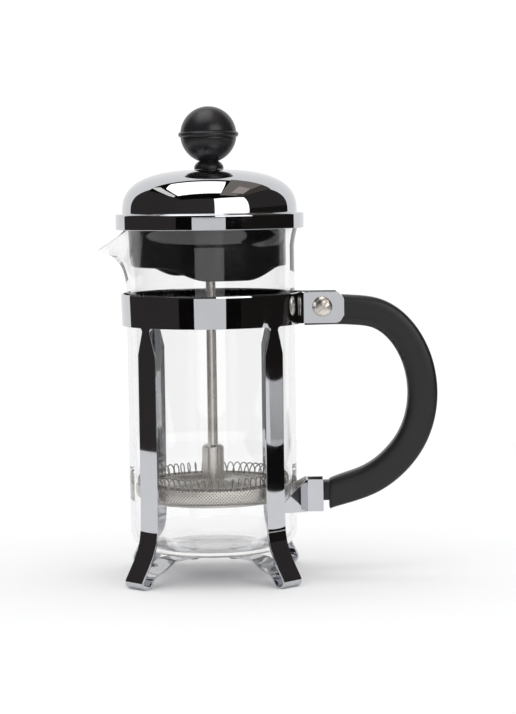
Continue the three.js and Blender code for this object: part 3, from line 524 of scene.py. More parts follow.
def lean(u, height):
    """How far the sheet stands in from its middle radius: it widens upwards and turns in at the top."""
    from_bend = min(u, BLANK_LENGTH - u) - EAR_LENGTH - BEND_LENGTH
    top = max(height - BAND_HEIGHT + CURL_HEIGHT, 0) / CURL_HEIGHT
    return (BAND_CONE * (1 - height / BAND_HEIGHT) + CURL * top ** 2) * smoothstep(from_bend / CONE_START)


def leg_centre(angle):
    return EAR_LENGTH + BEND_LENGTH + (angle - bend_angle) * BAND_RADIUS


def bezier(a, b, c, d, steps):
    points = [Vector(p) for p in (a, b, c, d)]
    out = []
    for i in range(steps + 1):
        t = i / steps
        u = 1 - t
        first_half = points[0] * u ** 3 + points[1] * 3 * u * u * t
        out.append(first_half + points[2] * 3 * u * t * t + points[3] * t ** 3)
    return out


def spline(points, steps):
    """A smooth line through the points, the same number of steps between each two."""
    ends = [Vector(points[0]) * 2 - Vector(points[1])]
    tail = [Vector(points[-1]) * 2 - Vector(points[-2])]
    all_points = ends + [Vector(p) for p in points] + tail
    out = []
    for i in range(1, len(all_points) - 2):
        p0, p1, p2, p3 = all_points[i - 1:i + 3]
        for k in range(steps):
            t = k / steps
            out.append(0.5 * (p1 * 2 + (p2 - p0) * t + (p0 * 2 - p1 * 5 + p2 * 4 - p3) * t ** 2
                              + (p1 * 3 - p0 - p2 * 3 + p3) * t ** 3))
    return out + [all_points[-2]]


def leg_line():
    """Middle line of a leg's side view in radius and height: down, round the toe, in under the glass."""
    toe_x, toe_z, toe_r, tilt = 43.2, 2.6, 2.2, math.radians(33)
    top = Vector((toe_x + toe_r * math.cos(tilt), toe_z + toe_r * math.sin(tilt)))
    slope = Vector((math.sin(tilt), -math.cos(tilt)))
    arm_z = box_mm("base_disc")[0].z - 0.3 - SHEET / 2
    straight = 25.0
    top_end = Vector((LEG_RADIUS, BAND_LOW.z))
    down = [top_end.lerp(Vector((LEG_RADIUS, straight)), i / 12) for i in range(13)]
    sweep = bezier((LEG_RADIUS, straight), (LEG_RADIUS, straight - 9), top - slope * 9, top, 20)
    toe = [Vector(p) for p in arc(toe_x, toe_z, toe_r, math.degrees(tilt), -90, 16)]
    heel = (toe_x - 1.9, SHEET / 2)
    riser = spline([heel, (heel[0] - 3.2, heel[1] + 4.3), (heel[0] - 8.4, heel[1] + 6.3),
                    (heel[0] - 12.4, arm_z - 0.9), (25, arm_z), (8.5, arm_z)], 8)
    return down + sweep[1:] + toe[1:] + riser


LEG_LINE = leg_line()
LEG_STEPS = [(b - a).length for a, b in zip(LEG_LINE, LEG_LINE[1:])]
LEG_LENGTH = sum(LEG_STEPS)
print("leg strip", round(LEG_LENGTH, 1), "mm long")


def leg_point(length):
    """Radius and height at a length down the leg's line."""
    for a, b, step in zip(LEG_LINE, LEG_LINE[1:], LEG_STEPS):
        if length <= step:
            return a.lerp(b, length / step)
        length -= step
    return LEG_LINE[-1]


def leg_half_width(length):
    if length < NECK_FILLET:
        return NECK_HALF + NECK_FILLET - math.sqrt(NECK_FILLET ** 2 - (NECK_FILLET - length) ** 2)
    share = min((length - NECK_FILLET) / (NECK_LENGTH - NECK_FILLET), 1)
    return NECK_HALF + (LEG_HALF - NECK_HALF) * share


# %% Cage blank
def blank_columns():
    """Places along the blank, closer in the bends, and on each leg's own columns."""
    top = leg_half_width(0)
    legs = [leg_centre(a) for a in LEG_ANGLES]
    ears = [EAR_LENGTH * i / 10 for i in range(10)] + [EAR_LENGTH + BEND_LENGTH * i / 10 for i in range(10)]
    ring = [EAR_LENGTH + BEND_LENGTH + RING_LENGTH * i / 180 for i in range(181)]
    plain = ears + ring + [BLANK_LENGTH - u for u in ears]
    kept = [u for u in plain if all(abs(u - leg) > top + 0.5 for leg in legs)]
    return sorted(kept + [leg + top * k / 5 for leg in legs for k in range(-5, 6)])


def chamfer(u, height):
    """The ear's two end corners are cut off and rounded."""
    near = min(u, BLANK_LENGTH - u)
    if near >= EAR_CUT:
        return height
    inset = EAR_CUT - math.sqrt(max(EAR_CUT ** 2 - (EAR_CUT - near) ** 2, 0)) * 0.75 - 0.25 * near
    return inset + height * (1 - 2 * inset / BAND_HEIGHT)


def blank():
    bm = bmesh.new()
    low = [bm.verts.new((u, 0, 0)) for u in blank_columns()]
    row = [bm.edges.new(pair) for pair in zip(low, low[1:])]
    top = leg_half_width(0)
    legs = [leg_centre(a) for a in LEG_ANGLES]
    hems = [[e for e in row if all(abs(v.co.x - leg) < top + 0.01 for v in e.verts)] for leg in legs]
    rows = [BAND_HEIGHT * i / 7 for i in range(1, 7)] + [BAND_HEIGHT - 0.8, BAND_HEIGHT - 0.35, BAND_HEIGHT]
    for height in rows:
        grown = bmesh.ops.extrude_edge_only(bm, edges=row)["geom"]
        for vert in (g for g in grown if isinstance(g, bmesh.types.BMVert)):
            vert.co.z = height
        row = [g for g in grown if isinstance(g, bmesh.types.BMEdge)
               and abs(g.verts[0].co.z - g.verts[1].co.z) < 1e-6]
    sweep_start = 80                        # rows stand wide down to here and close in the bends below
    lengths = [0.06, 0.15, 0.3, 0.5, 0.8, 1.15, NECK_FILLET, 6, 10.4, NECK_LENGTH, 11.6]
    lengths += [16 + 4 * i for i in range(16)]
    lengths += [sweep_start + (LEG_LENGTH - sweep_start) * i / 90 for i in range(1, 91)]
    for leg, hem in zip(legs, hems):
        width = top
        edges = hem
        for length in lengths:
            grown = bmesh.ops.extrude_edge_only(bm, edges=edges)["geom"]
            verts = [g for g in grown if isinstance(g, bmesh.types.BMVert)]
            edges = [g for g in grown if isinstance(g, bmesh.types.BMEdge)
                     and abs(g.verts[0].co.z - g.verts[1].co.z) < 1e-6]
            for vert in verts:
                vert.co.x = leg + (vert.co.x - leg) * leg_half_width(length) / width
                vert.co.z = -length
            width = leg_half_width(length)
    return bm, legs


def bent(co, legs):
    """Where a point of the flat blank ends up."""
    u, height = co.x, co.z
    if height >= -1e-9:
        place = Vector(rolled(u))
        place -= place.normalized() * lean(u, height)
        return Vector((place.x, place.y, BAND_LOW.z + chamfer(u, height)))
    index = min(range(4), key=lambda i: abs(legs[i] - u))
    angle, across = LEG_ANGLES[index], u - legs[index]
    line = leg_point(-height)
    round_share = 1 - smoothstep((-height - LEG_ROUND) / (LEG_FLAT - LEG_ROUND))
    curve = across / BAND_RADIUS
    sideways = across + (BAND_RADIUS * math.sin(curve) - across) * round_share
    radius = line.x - BAND_RADIUS * (1 - math.cos(curve)) * round_share
    return Vector((
        radius * math.cos(angle) - sideways * math.sin(angle),
        radius * math.sin(angle) + sideways * math.cos(angle),
        line.y,
    ))


def cage():
    bm, legs = blank()
    for vert in bm.verts:
        place = bent(vert.co, legs)
        vert.co = Vector((place.x + AXIS_X, place.y, place.z)) * MM
    bmesh.ops.recalc_face_normals(bm, faces=bm.faces)
    names = ["cage_band"] + [f"cage_leg_{i}" for i in range(1, 5)]
    made = piece("cage_sheet", bm, [CHROME], "cage", names)
    thick = made.modifiers.new("sheet", "SOLIDIFY")
    thick.thickness = SHEET * MM
    thick.offset = 0
    thick.use_even_offset = True
    edge = made.modifiers.new("edge", "BEVEL")
    edge.width = 0.16 * MM
    edge.segments = 2
    edge.limit_method = "ANGLE"
    edge.angle_limit = math.radians(50)
    return weighted(made)


cage()

# %% [markdown]
# ## Handle
# The grip is one moulding with a rounded rectangular section that follows a D. A circle is shaped to the
# section and its face is extruded from station to station along the D's middle line. The lower end steps
# down to a tongue that the bracket holds. A curve with a bevel profile would be quicker, but it can't change
# its section at the shoulder.

# %% Handle
GRIP_WIDTH, GRIP_THICKNESS = 12.4, GRIP_HIGH.y - GRIP_LOW.y
GRIP_TOP = GRIP_HIGH.z - GRIP_WIDTH / 2 - 0.15
GRIP_REACH = GRIP_HIGH.x - GRIP_WIDTH / 2
GRIP_LOW_Z, TONGUE_Z = 33.8, 35.4
TONGUE_START, SHOULDER = BAND_RADIUS + SHEET / 2 + 2.5, BAND_RADIUS + SHEET / 2 + 11.2
TONGUE_HEIGHT, TONGUE_THICKNESS = 8.2, 8.6
GRIP_CURVE = [                              # in from the widest place, share of the way down
    (31, 0), (18, 0.027), (8.5, 0.124), (2.1, 0.279), (0, 0.461), (2.6, 0.642), (9.8, 0.796), (21.5, 0.917),
]
print("grip reaches", round(GRIP_HIGH.x, 1), "mm from the axis")


def grip_line():
    """Middle line of the D, from the ears down to the shoulder."""
    points = [(GRIP_REACH - inwards, GRIP_TOP + (GRIP_LOW_Z - GRIP_TOP) * share)
              for inwards, share in GRIP_CURVE]
    return spline([(BAND_RADIUS + 2, GRIP_TOP)] + points + [(SHOULDER, GRIP_LOW_Z + 0.2)], 10)


def section(angle, width, thickness, power=5.0):
    """A point of the grip's section, a rectangle with soft edges."""
    c, s = math.cos(angle), math.sin(angle)
    scale = (abs(c) ** power + abs(s) ** power) ** (-1 / power)
    return width / 2 * c * scale, thickness / 2 * s * scale


def grip():
    line = grip_line()
    bm = bmesh.new()
    sides = 48
    ring = bmesh.ops.create_circle(bm, cap_ends=True, segments=sides, radius=1)["verts"]
    angles = [2 * math.pi * i / sides for i in range(sides)]
    stations = []
    left = Vector((-1, 0))
    for i, point in enumerate(line):
        along = (line[min(i + 1, len(line) - 1)] - line[max(i - 1, 0)]).normalized()
        if point.y < GRIP_TOP / 2:
            along = along.lerp(left, smoothstep((SHOULDER + 12 - point.x) / 12)).normalized()
        stations.append((point, along, GRIP_WIDTH, GRIP_THICKNESS))
    stations[-1] = (line[-1] - left * 0.35, left, GRIP_WIDTH, GRIP_THICKNESS)
    stations.append((line[-1], left, GRIP_WIDTH - 0.7, GRIP_THICKNESS - 0.7))
    for x in (SHOULDER - 0.05, SHOULDER - 0.3, TONGUE_START):
        stations.append((Vector((x, TONGUE_Z)), left, TONGUE_HEIGHT, TONGUE_THICKNESS))
    bm.faces.ensure_lookup_table()
    face = bm.faces[0]
    for i, (point, along, width, thickness) in enumerate(stations):
        if i:
            grown = bmesh.ops.extrude_discrete_faces(bm, faces=[face])["faces"]
            face = grown[0]
        across = Vector((-along.y, along.x))
        loop = [v for v in face.verts]
        if i == 0:
            loop = ring
        for vert, angle in zip(loop, angles):
            w, t = section(angle, width, thickness)
            place = point + across * w
            vert.co = ((AXIS_X + place.x) * MM, t * MM, place.y * MM)
    bmesh.ops.recalc_face_normals(bm, faces=bm.faces)
    return weighted(piece("grip", bm, [SATIN_PP], "cage", ["handle"]))


grip()

# %% [markdown]
# ## Stamped and pressed small parts
# The bracket, the nut and the rivets are already right in the frame; what they lack is the soft edge of a
# stamped or turned part. A copy of each is merged, its flat faces are joined, and a Bevel modifier rolls its
# edges.


# %% Softened copies
def softened(name, node, material, body, edge_mm, angle=35):
    bm = bmesh.new()
    bm.from_mesh(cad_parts[node].data)
    bmesh.ops.remove_doubles(bm, verts=bm.verts, dist=2e-6)
    bmesh.ops.dissolve_limit(bm, angle_limit=math.radians(0.5), verts=bm.verts, edges=bm.edges)
    made = piece(name, bm, [material], body, [node])
    edge = made.modifiers.new("edge", "BEVEL")
    edge.width = edge_mm * MM
    edge.segments = 2
    edge.limit_method = "ANGLE"
    edge.angle_limit = math.radians(angle)
    return weighted(made)


softened("bracket_sheet", "handle_bracket", CHROME, "cage", 0.14, 20)
softened("ear_nut", "handle_nut", WARM_NICKEL, "cage", 0.3)
softened("filter_spiral_plate", "spiral_plate", STAMPED_STEEL, "plunger", 0.12)
softened("filter_cross_plate", "cross_plate", STAMPED_STEEL, "plunger", 0.12)
softened("foot_disc", "base_disc", CHROME, "cage", 0.12)
for i in range(1, 5):
    softened(f"foot_rivet_{i}", f"base_rivet_{i}", STAMPED_STEEL, "cage", 0.1)

# %% [markdown]
# ## Slotted screw
# The screw through the ears has a low domed head. It is turned like the rest, on its own axis, and its slot
# is cut with a boolean, as a saw cuts it.


# %% Slotted screw
def meshed(made):
    """The object's mesh with its modifiers applied."""
    evaluated = made.evaluated_get(bpy.context.evaluated_depsgraph_get())
    return bpy.data.meshes.new_from_object(evaluated)


def ear_screw():
    low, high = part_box("handle_screw")
    centre = (low + high) / 2 / MM
    head, thread = 4.2, 2.0                 # radii
    crown, end = low.y / MM, high.y / MM
    seat = crown + 2.2
    outline = [(0, crown), (head * 0.55, crown + 0.28), (head * 0.88, crown + 1.1), (head, crown + 1.8),
               (head, seat, 0.1), (thread, seat, 0.1), (thread, end, 0.3), (0, end)]
    bm = bmesh.new()
    points = rounded(outline, 0.8, 6)
    verts = [bm.verts.new((p[0] * MM, p[1] * MM, 0)) for p in points]
    edges = [bm.edges.new(pair) for pair in zip(verts, verts[1:])]
    bmesh.ops.spin(bm, geom=verts + edges, cent=(0, 0, 0), axis=(0, 1, 0), angle=2 * math.pi, steps=72,
                   use_merge=True)
    bmesh.ops.remove_doubles(bm, verts=bm.verts, dist=1e-7)
    bmesh.ops.recalc_face_normals(bm, faces=bm.faces)
    body = bpy.data.objects.new("screw_blank", bpy.data.meshes.new("screw_blank"))
    bm.to_mesh(body.data)
    bm.free()
    saw = bmesh.new()
    bmesh.ops.create_cube(saw, size=1)
    slot_depth, slot_width = 0.9, 1.1
    bmesh.ops.scale(saw, vec=(12 * MM, 2 * slot_depth * MM, slot_width * MM), verts=saw.verts)
    slot_turn = Matrix.Rotation(math.radians(-48), 3, "Y")
    bmesh.ops.rotate(saw, cent=(0, 0, 0), matrix=slot_turn, verts=saw.verts)
    bmesh.ops.translate(saw, vec=(0, low.y, 0), verts=saw.verts)
    blade = bpy.data.objects.new("screw_saw", bpy.data.meshes.new("screw_saw"))
    saw.to_mesh(blade.data)
    saw.free()
    for made in (body, blade):
        bpy.context.scene.collection.objects.link(made)
    slot = body.modifiers.new("slot", "BOOLEAN")
    slot.operation = "DIFFERENCE"
    slot.solver = "EXACT"
    slot.object = blade
    cut = bmesh.new()
    cut.from_mesh(meshed(body))
    bmesh.ops.translate(cut, vec=(centre.x * MM, 0, centre.z * MM), verts=cut.verts)
    for made in (body, blade):
        bpy.data.objects.remove(made)
    made = piece("ear_screw", cut, [WARM_NICKEL], "cage", ["handle_screw"])
    made.data.set_sharp_from_angle(angle=math.radians(35))
    return weighted(made)


ear_screw()

# %% [markdown]
# ## Lid
# The lid is a chromed pressing: a low dome, a flat ledge and a short skirt with a rounded corner. The dome's
# outline is a super-ellipse, fuller at the shoulder than a ball, so a scaled sphere wouldn't do. It is spun
# in many steps, because a mirror shows every facet.

# %% Lid shell
LID_LOW, LID_HIGH = box_mm("lid_dome")
DOME_RADIUS, DOME_HEIGHT, ROUNDNESS = 36.3, 18.1, 2.7
LEDGE_TOP = LID_HIGH.z - DOME_HEIGHT
LID_RADIUS = LID_HIGH.y
BUSH_HOLE = 4.4


def dome_outline(radius, height, steps):
    """From the bush's hole down to the dome's foot."""
    start = math.acos((BUSH_HOLE / radius) ** (ROUNDNESS / 2))
    out = []
    for i in range(steps + 1):
        angle = start * (1 - i / steps)
        out.append((radius * math.cos(angle) ** (2 / ROUNDNESS),
                    LEDGE_TOP + height * math.sin(angle) ** (2 / ROUNDNESS)))
    return out


def lid_shell():
    outside = dome_outline(DOME_RADIUS, DOME_HEIGHT, 64)
    inside = dome_outline(DOME_RADIUS - SHEET, DOME_HEIGHT - SHEET, 40)
    under = LEDGE_TOP - SHEET
    foot = rounded([outside[-2], (DOME_RADIUS, LEDGE_TOP, 0.7), (LID_RADIUS, LEDGE_TOP, 0.9),
                    (LID_RADIUS, LID_LOW.z, 0.3), (LID_RADIUS - SHEET, LID_LOW.z, 0.3),
                    (LID_RADIUS - SHEET, under, 0.5), (DOME_RADIUS - SHEET, under, 0.3),
                    inside[-2]], 0.3, 6)
    outline = [tuple(p) for p in outside[:-2]] + [tuple(p) for p in foot] + inside[:-2][::-1]
    bm = spun(outline, steps=256, closed=True)
    return weighted(piece("lid_shell", bm, [CHROME], "lid", ["lid_dome"]))


lid_shell()

# %% [markdown]
# ## Lid insert
# Under the dome sits a black moulding: a flange on the glass rim, a skirt inside the glass and a boss round
# the rod's bush. The skirt hangs lower in two opposite lobes; turning the lid brings a lobe to the spout and
# closes it. It is spun with an even skirt, and the skirt's rows are then pulled to the wavy edge.

# %% Lid insert
INSERT_LOW, INSERT_HIGH = box_mm("lid_insert")
INSERT_RADIUS, INSERT_WALL = 31.6, 1.8
LOBE_DEPTH, LOBE_HALF = 5.2, math.radians(36)
LOBE_TURN = math.radians(14)
FLANGE_LOW = RIM_Z + 0.3
FLANGE_TOP = FLANGE_LOW + 1.4


def lobe_share(angle):
    """1 in the middle of a lobe, 0 between the lobes."""
    away = abs((angle - LOBE_TURN) % math.pi - math.pi / 2)
    return 1 - smoothstep((away - LOBE_HALF * 0.42) / LOBE_HALF)


def lid_insert():
    skirt_low = INSERT_LOW.z + LOBE_DEPTH
    inner = INSERT_RADIUS - INSERT_WALL
    rows = [FLANGE_LOW + (skirt_low - FLANGE_LOW) * i / 10 for i in range(1, 10)]
    outline = [(BUSH_HOLE, FLANGE_LOW, 0), (inner, FLANGE_LOW, 0.6)]
    outline += [(inner, z, 0) for z in rows]
    outline += [(inner, skirt_low, 0.5), (INSERT_RADIUS, skirt_low, 0.5)]
    outline += [(INSERT_RADIUS, z, 0) for z in reversed(rows)]
    boss = BUSH_HOLE + 3.2
    outline += [(INSERT_RADIUS, FLANGE_LOW, 0.4), (INSERT_HIGH.y, FLANGE_LOW, 0.3),
                (INSERT_HIGH.y, FLANGE_TOP, 0.3), (boss, FLANGE_TOP, 0.8), (boss, INSERT_HIGH.z, 0.3),
                (BUSH_HOLE, INSERT_HIGH.z, 0)]
    bm = spun(rounded(outline, 0.3, closed=True), steps=240, closed=True)
    for vert in bm.verts:
        x, y, z = vert.co.x / MM - AXIS_X, vert.co.y / MM, vert.co.z / MM
        if z < FLANGE_LOW - 0.7 and math.hypot(x, y) > inner - 0.1:
            drop = (FLANGE_LOW - z) / (FLANGE_LOW - skirt_low)
            vert.co.z -= LOBE_DEPTH * lobe_share(math.atan2(y, x)) * drop * MM
    bmesh.ops.recalc_face_normals(bm, faces=bm.faces)
    return weighted(piece("lid_moulding", bm, [GLOSS_PP], "lid", ["lid_insert"]))


lid_insert()

# %% [markdown]
# ## Clip ring and bush
# Under the lid a stamped ring holds the bush that guides the rod. Both are plain rings, so one function
# turns a rectangle of inner and outer radius for either.


# %% Clip ring and bush
def ring(name, node, inner, outer, material, body, edge):
    low, high = box_mm(node)
    outline = [(inner, low.z), (outer, low.z), (outer, high.z), (inner, high.z)]
    return turned(name, outline, material, body, [node], edge, 96)


ring("lid_clip_ring", "lid_clip", BUSH_HOLE, 9, STAMPED_STEEL, "lid", 0.2)
ring("rod_guide_bush", "rod_bush", 2.2, 4.1, GLOSS_PP, "lid_core", 0.15)

# %% [markdown]
# ## Knob
# A ball with a bead round its middle, where the two halves of the mould met, on a short flared collar. The
# bead is a half-round rib with a small step on either side. A sphere and a torus could be joined for it; one
# spun outline gives the same shape without a seam to hide.

# %% Knob
KNOB_LOW, KNOB_HIGH = box_mm("knob")
BALL, BEAD, NECK, COLLAR = 11.65, KNOB_HIGH.y, 3.9, 6.1
BALL_Z = KNOB_HIGH.z - BALL


def knob():
    neck_angle = math.degrees(math.acos(NECK / BALL))
    step = 6.2                              # degrees of the ball that half the bead covers
    bead_radius = 1.15
    bore, shank, half = 3.4, 2.4, 4.3       # radii of the insert's bore and of the rod's, and half its height
    ball_low = arc(0, BALL_Z, BALL, -neck_angle, -step, 22)
    ball_high = arc(0, BALL_Z, BALL, step, 90, 30)
    bead = arc(BEAD - bead_radius, BALL_Z, bead_radius, -84, 84, 14)
    foot = KNOB_LOW.z - 0.26
    collar = [(shank, foot, 0.1), (COLLAR, foot, 0.25), (COLLAR + 0.02, KNOB_LOW.z + 0.9, 0.6),
              (COLLAR - 0.7, KNOB_LOW.z + 2.1, 0.8), (NECK + 0.3, KNOB_LOW.z + 3.0, 0.3)]
    hollow = [(0, BALL_Z + half), (bore, BALL_Z + half), (bore, BALL_Z - half), (shank, BALL_Z - half)]
    outline = [tuple(p) for p in rounded(collar, 0.3)] + ball_low + bead + ball_high[:-1]
    bm = spun(outline + [(0, BALL_Z + BALL)] + hollow + [(shank, KNOB_LOW.z + 0.1)], steps=160)
    return weighted(piece("ball_knob", bm, [KNOB_PP], "plunger", ["knob"]))


knob()

# %% [markdown]
# ## Rod and coupling
# Both are turned bar. The coupling is a sleeve with a chamfered top that the rod screws into; its stud goes
# down through the filter. Cylinders with a bevel would look alike from outside, but a spun outline has the
# real socket as well.

# %% Rod and coupling
ROD, STUD, SLEEVE = 2.1, 2.4, 4.6           # radii, the stud's and the socket's are one
CHAMFER, SOCKET_DEPTH = 1.0, 8.6
rod_low, rod_high = box_mm("plunger_rod")
turned("plunger_bar", [(0, rod_low.z), (ROD, rod_low.z), (ROD, rod_high.z), (0, rod_high.z)],
       DRAWN_STEEL, "plunger", ["plunger_rod"], 0.3, 96, closed=False)
stud_low, sleeve_top = (corner.z for corner in box_mm("rod_coupling"))
seat_z = box_mm("spiral_plate")[0].z + 1.1
turned("coupling_sleeve", [
    (0, stud_low), (STUD, stud_low), (STUD, seat_z), (SLEEVE, seat_z), (SLEEVE, sleeve_top - CHAMFER, 0.15),
    (SLEEVE - CHAMFER, sleeve_top, 0.15), (STUD, sleeve_top, 0.1), (STUD, sleeve_top - SOCKET_DEPTH),
    (0, sleeve_top - SOCKET_DEPTH),
], DRAWN_STEEL, "plunger", ["rod_coupling"], 0.2, 120, closed=False)

# %% [markdown]
# ## Coil spring
# The spring is one wire wound into a coil that closes into a ring round the filter, so that it presses
# outwards on the mesh. A curve through the helix's points, with a round section, is the natural tool.

# %% Coil spring
COIL_LOW, COIL_HIGH = box_mm("coil_spring")
WIRE, TURNS, TURN_STEPS = 0.28, 58, 20
COIL_RADIUS = (COIL_HIGH.z - COIL_LOW.z) / 2 - WIRE
COIL_CENTRE = COIL_HIGH.y - COIL_RADIUS - WIRE
COIL_Z = (COIL_HIGH.z + COIL_LOW.z) / 2


def coil_spring():
    curve = bpy.data.curves.new("coil_wire", "CURVE")
    curve.dimensions = "3D"
    curve.bevel_depth = WIRE * MM
    curve.bevel_resolution = 2
    path = curve.splines.new("POLY")
    count = TURNS * TURN_STEPS
    path.points.add(count - 1)
    path.use_cyclic_u = True
    for i, point in enumerate(path.points):
        turn_angle, angle = 2 * math.pi * i / TURN_STEPS, 2 * math.pi * i / count
        radius = COIL_CENTRE + COIL_RADIUS * math.cos(turn_angle)
        z = COIL_Z + COIL_RADIUS * math.sin(turn_angle)
        point.co = ((AXIS_X + radius * math.cos(angle)) * MM, radius * math.sin(angle) * MM, z * MM, 1)
    wire = bpy.data.objects.new("coil_wire", curve)
    bpy.context.scene.collection.objects.link(wire)
    bm = bmesh.new()
    bm.from_mesh(meshed(wire))
    bpy.data.objects.remove(wire)
    return piece("filter_spring", bm, [SPRING_WIRE], "plunger", ["coil_spring"])


coil_spring()

# %% [markdown]
# ## Mesh filter
# A disc of wire cloth with its edge turned up round the spring. The edge bulges a little, where the spring
# pushes it to the glass, and its lip is rolled over. Real holes would take millions of faces, so the cloth is
# a thin closed shell and its material draws the weave.

# %% Mesh filter
MESH_LOW, MESH_HIGH = box_mm("mesh_filter")
MESH_RADIUS = MESH_HIGH.y


def mesh_filter():
    base, lip = MESH_LOW.z, MESH_HIGH.z
    outline = [(2.7, base), (MESH_RADIUS - 1.2, base, 2.6), (MESH_RADIUS, base + 3.0, 2.2),
               (MESH_RADIUS - 0.35, lip - 0.15, 0.3), (MESH_RADIUS - 0.75, lip, 0.2),
               (MESH_RADIUS - 0.9, lip - 0.5, 0.2), (MESH_RADIUS - 0.5, base + 3.0, 2.0),
               (MESH_RADIUS - 1.7, base + 0.5, 2.2), (2.7, base + 0.5)]
    bm = spun(rounded(outline, 0.3, 6, closed=True), steps=200, closed=True)
    for face in bm.faces:
        centre = face.calc_center_median() / MM
        face.material_index = 0 if math.hypot(centre.x - AXIS_X, centre.y) > MESH_RADIUS - 2 else 1
    materials = [wire_cloth("wire_cloth_edge", True, MESH_RADIUS), wire_cloth("wire_cloth_flat", False)]
    return weighted(piece("filter_mesh", bm, materials, "plunger", ["mesh_filter"]))


mesh_filter()

# %% [markdown]
# ## Hidden insert
# The knob's brass insert is seen only when the knob is taken apart, so the frame's own solid stays, with a
# turned brass finish.

# %% Hidden insert
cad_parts["knob_insert"].data.materials.clear()
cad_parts["knob_insert"].data.materials.append(BRASS)

# %% [markdown]
# ## Studio
# A white drum of soft light stands all round, with a softbox overhead, so that the floor is pale and the
# glass is clear from every side. Chrome is different: it shows whatever it mirrors, and in a plain white
# drum it would look like white paint. So every ray that comes straight from a mirror sees another room: a
# dark one, with a white backdrop, a large ceiling softbox, a window at the front right and a few cards. A
# Light Path node tells the two apart.


# %% Studio helpers
def sum_up(tree, operation, first, second):
    return add_node(tree, "ShaderNodeMath", {"operation": operation}, in_0=first, in_1=second).outputs[0]


def from_mirror(tree):
    """1 for a ray that comes from a mirror, 0 after a matt surface or several turns inside the glass."""
    path = add_node(tree, "ShaderNodeLightPath")
    matt = sum_up(tree, "MULTIPLY", path.outputs["Diffuse Depth"], 9.0)
    trapped = sum_up(tree, "MULTIPLY", sum_up(tree, "GREATER_THAN", path.outputs["Glossy Depth"], 1.5),
                     sum_up(tree, "GREATER_THAN", path.outputs["Transmission Depth"], 1.5))
    others = sum_up(tree, "ADD", matt, sum_up(tree, "MULTIPLY", trapped, 9.0))
    mirrored = sum_up(tree, "SUBTRACT", path.outputs["Glossy Depth"], others)
    return sum_up(tree, "GREATER_THAN", mirrored, 0.5)


def room_paint(name, strength, colour="#ffffff", in_mirrors=True):
    """Light that only rays from a mirror see, or that only all others see."""
    material, tree = new_material(name)
    light = add_node(tree, "ShaderNodeEmission", Color=linear(colour), Strength=strength)
    clear = add_node(tree, "ShaderNodeBsdfTransparent", Color=(1, 1, 1, 1))
    first, second = (clear, light) if in_mirrors else (light, clear)
    mix = add_node(tree, "ShaderNodeMixShader", in_0=from_mirror(tree), in_1=first.outputs[0],
                   in_2=second.outputs[0])
    finished(tree, mix.outputs[0])
    return material


def table_paint():
    material, tree = new_material("matt_white_table")
    place = add_node(tree, "ShaderNodeTexCoord").outputs["Object"]
    speckle = add_node(tree, "ShaderNodeTexNoise", Vector=place, Scale=per_mm(3), Detail=2.0)
    colour = tinted(tree, speckle.outputs[0], "#f7f7f8", "#fafafb")
    finished(tree, add_node(tree, "ShaderNodeBsdfDiffuse", Color=colour).outputs[0])
    return material


def set_piece(name, bm, material):
    mesh = bpy.data.meshes.new(name)
    bm.to_mesh(mesh)
    bm.free()
    mesh.materials.append(material)
    made = bpy.data.objects.new(name, mesh)
    bpy.context.scene.collection.objects.link(made)
    return made


def drum(name, material):
    bm = bmesh.new()
    low = bm.verts.new((3.0, 0, -0.02))
    top = bm.verts.new((3.0, 0, 3.0))
    edge = bm.edges.new((low, top))
    bmesh.ops.spin(bm, geom=[low, top, edge], cent=(0, 0, 0), axis=(0, 0, 1), angle=2 * math.pi, steps=96,
                   use_merge=True)
    return set_piece(name, bm, material)


def disc(name, radius, z, material, hole=0.0):
    bm = bmesh.new()
    bmesh.ops.create_circle(bm, cap_ends=not hole, segments=96, radius=radius)
    if hole:
        inner = bmesh.ops.extrude_edge_only(bm, edges=bm.edges[:])["geom"]
        verts = [g for g in inner if isinstance(g, bmesh.types.BMVert)]
        bmesh.ops.scale(bm, vec=(hole / radius, hole / radius, 1), verts=verts)
    bmesh.ops.translate(bm, vec=(AXIS_X * MM, 0, z), verts=bm.verts)
    return set_piece(name, bm, material)


def flat(corners, shift=0.0):
    """One face from its corners, in metres."""
    bm = bmesh.new()
    bm.faces.new([bm.verts.new((x + shift, y, z)) for x, y, z in corners])
    return bm


def card(name, corners, strength, colour="#ffffff"):
    """A flat light that only mirrors show, from its corners in metres round the beaker's axis."""
    made = set_piece(name, flat(corners, AXIS_X * MM), room_paint(name, strength, colour))
    made.visible_camera = False
    made.visible_diffuse = False
    made.visible_shadow = False
    return made


def upright(x0, y0, x1, y1, low, high):
    return [(x0, y0, low), (x1, y1, low), (x1, y1, high), (x0, y0, high)]


def level(z, *plan):
    return [(x, y, z) for x, y in plan]


# %% Floor, drum and softbox
TABLE = 0.47                                # radius in metres; beyond it the floor gives its own light
FLOOR = 3.2
WHITE = 1.03                                # just past white, so that the ground has no edge

disc("table", TABLE, 0.0, table_paint())
disc("floor", FLOOR, 0.0, room_paint("floor_light", WHITE, in_mirrors=False), hole=TABLE)
drum("drum_wall", room_paint("drum_light", WHITE, in_mirrors=False))
disc("drum_roof", FLOOR, 3.0, room_paint("roof_light", 0.12, in_mirrors=False))
overhead = level(1.6, (-1.3, -1.05), (-1.3, 0.9), (1.4, 0.9), (1.4, -1.05))
softbox = set_piece("softbox", flat(overhead), room_paint("softbox_light", 1.5, in_mirrors=False))
softbox.visible_camera = False
print("white room of", FLOOR, "m radius")

# %% [markdown]
# ## Room in the mirror
# Each card is placed where a mirror on the press would look at it: the dome looks up at the ceiling, the band
# and the lid's skirt look level, and the legs look down at the table. The strengths go from white to nearly
# black, as in a real set, where black cards give chrome its dark edges.

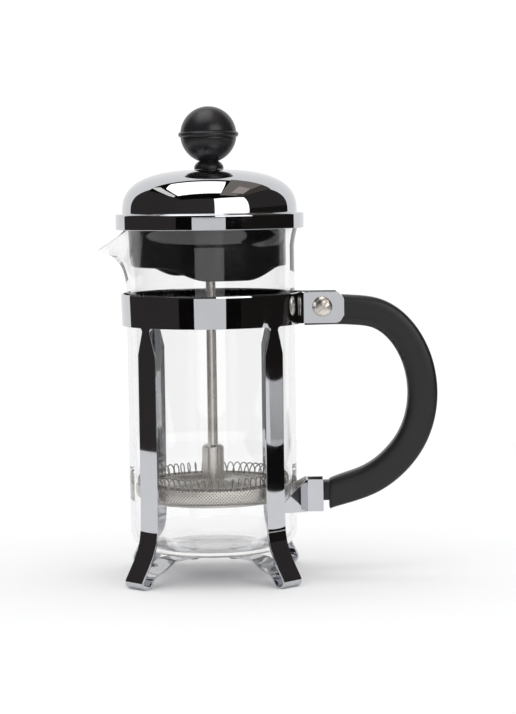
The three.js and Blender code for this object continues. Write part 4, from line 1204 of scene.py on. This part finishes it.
# %% Room in the mirror
CEILING = 1.665                             # metres; the lamp and the grey cards hang a little behind it
LAMP_CEILING = 1.69
GREY_CEILING = 1.7

card("backdrop", upright(-1.72, 1.2, 1.72, 1.2, -0.5, 2.0), 0.92)
card("ceiling_softbox",
     level(CEILING, (-0.62, 0.78), (0.22, 0.72), (0.38, -0.83), (-1.17, -0.95), (-0.92, 0.33)), 2.2)
card("ceiling_strip",
     level(CEILING, (-1.17, 1.05), (-0.95, 0.7), (-1.25, -0.86), (-1.6, -1.15)), 1.1, "#f2f1ea")
card("ceiling_grey",
     level(GREY_CEILING, (0.26, 1.15), (0.95, 1.15), (1.1, -1.2), (0.42, -1.2)), 0.22, "#fff4ec")
card("ceiling_dim",
     level(GREY_CEILING, (0.95, 1.15), (1.5, 1.15), (1.5, -1.6), (1.1, -1.2)), 0.07, "#fff0e6")
card("ceiling_lamp",
     level(LAMP_CEILING, (0.58, 0.26), (0.96, 0.18), (1.18, -0.64), (0.69, -0.69)), 0.45, "#fff0ea")
card("front_window", upright(0.21, -1.48, 1.21, -0.88, 0.15, 1.24), 2.2)
card("front_card", upright(-0.51, -1.4, 0.51, -1.4, -0.12, 0.138), 0.82)
card("front_wall", upright(-1.45, -1.5, 0.2, -1.5, 0.15, 1.3), 0.04, "#fff2f2")
card("left_wall", upright(-1.5, 1.05, -1.5, -1.79, -0.4, 1.66), 0.036, "#fff0f4")
card("right_wall", upright(1.5, 1.05, 1.5, -1.79, -0.4, 0.3), 0.012, "#fff0e6")
card("right_wall_high", upright(1.5, 1.05, 1.5, -1.79, 0.3, 1.66), 0.034, "#fff0f0")
card("table_right", level(0.0, (0.485, 0.3), (0.485, -0.3), (0.92, -0.3), (0.92, 0.3)), 0.95)
card("case_right", level(0.001, (0.29, 0.3), (0.28, -0.3), (0.48, -0.4), (0.48, 0.4)), 0.006)

world = bpy.data.worlds.new("dark_room")
bpy.context.scene.world = world
world.use_nodes = True
world.node_tree.nodes["Background"].inputs[0].default_value = linear("#0c0a0a")
world.node_tree.nodes["Background"].inputs[1].default_value = 1.0
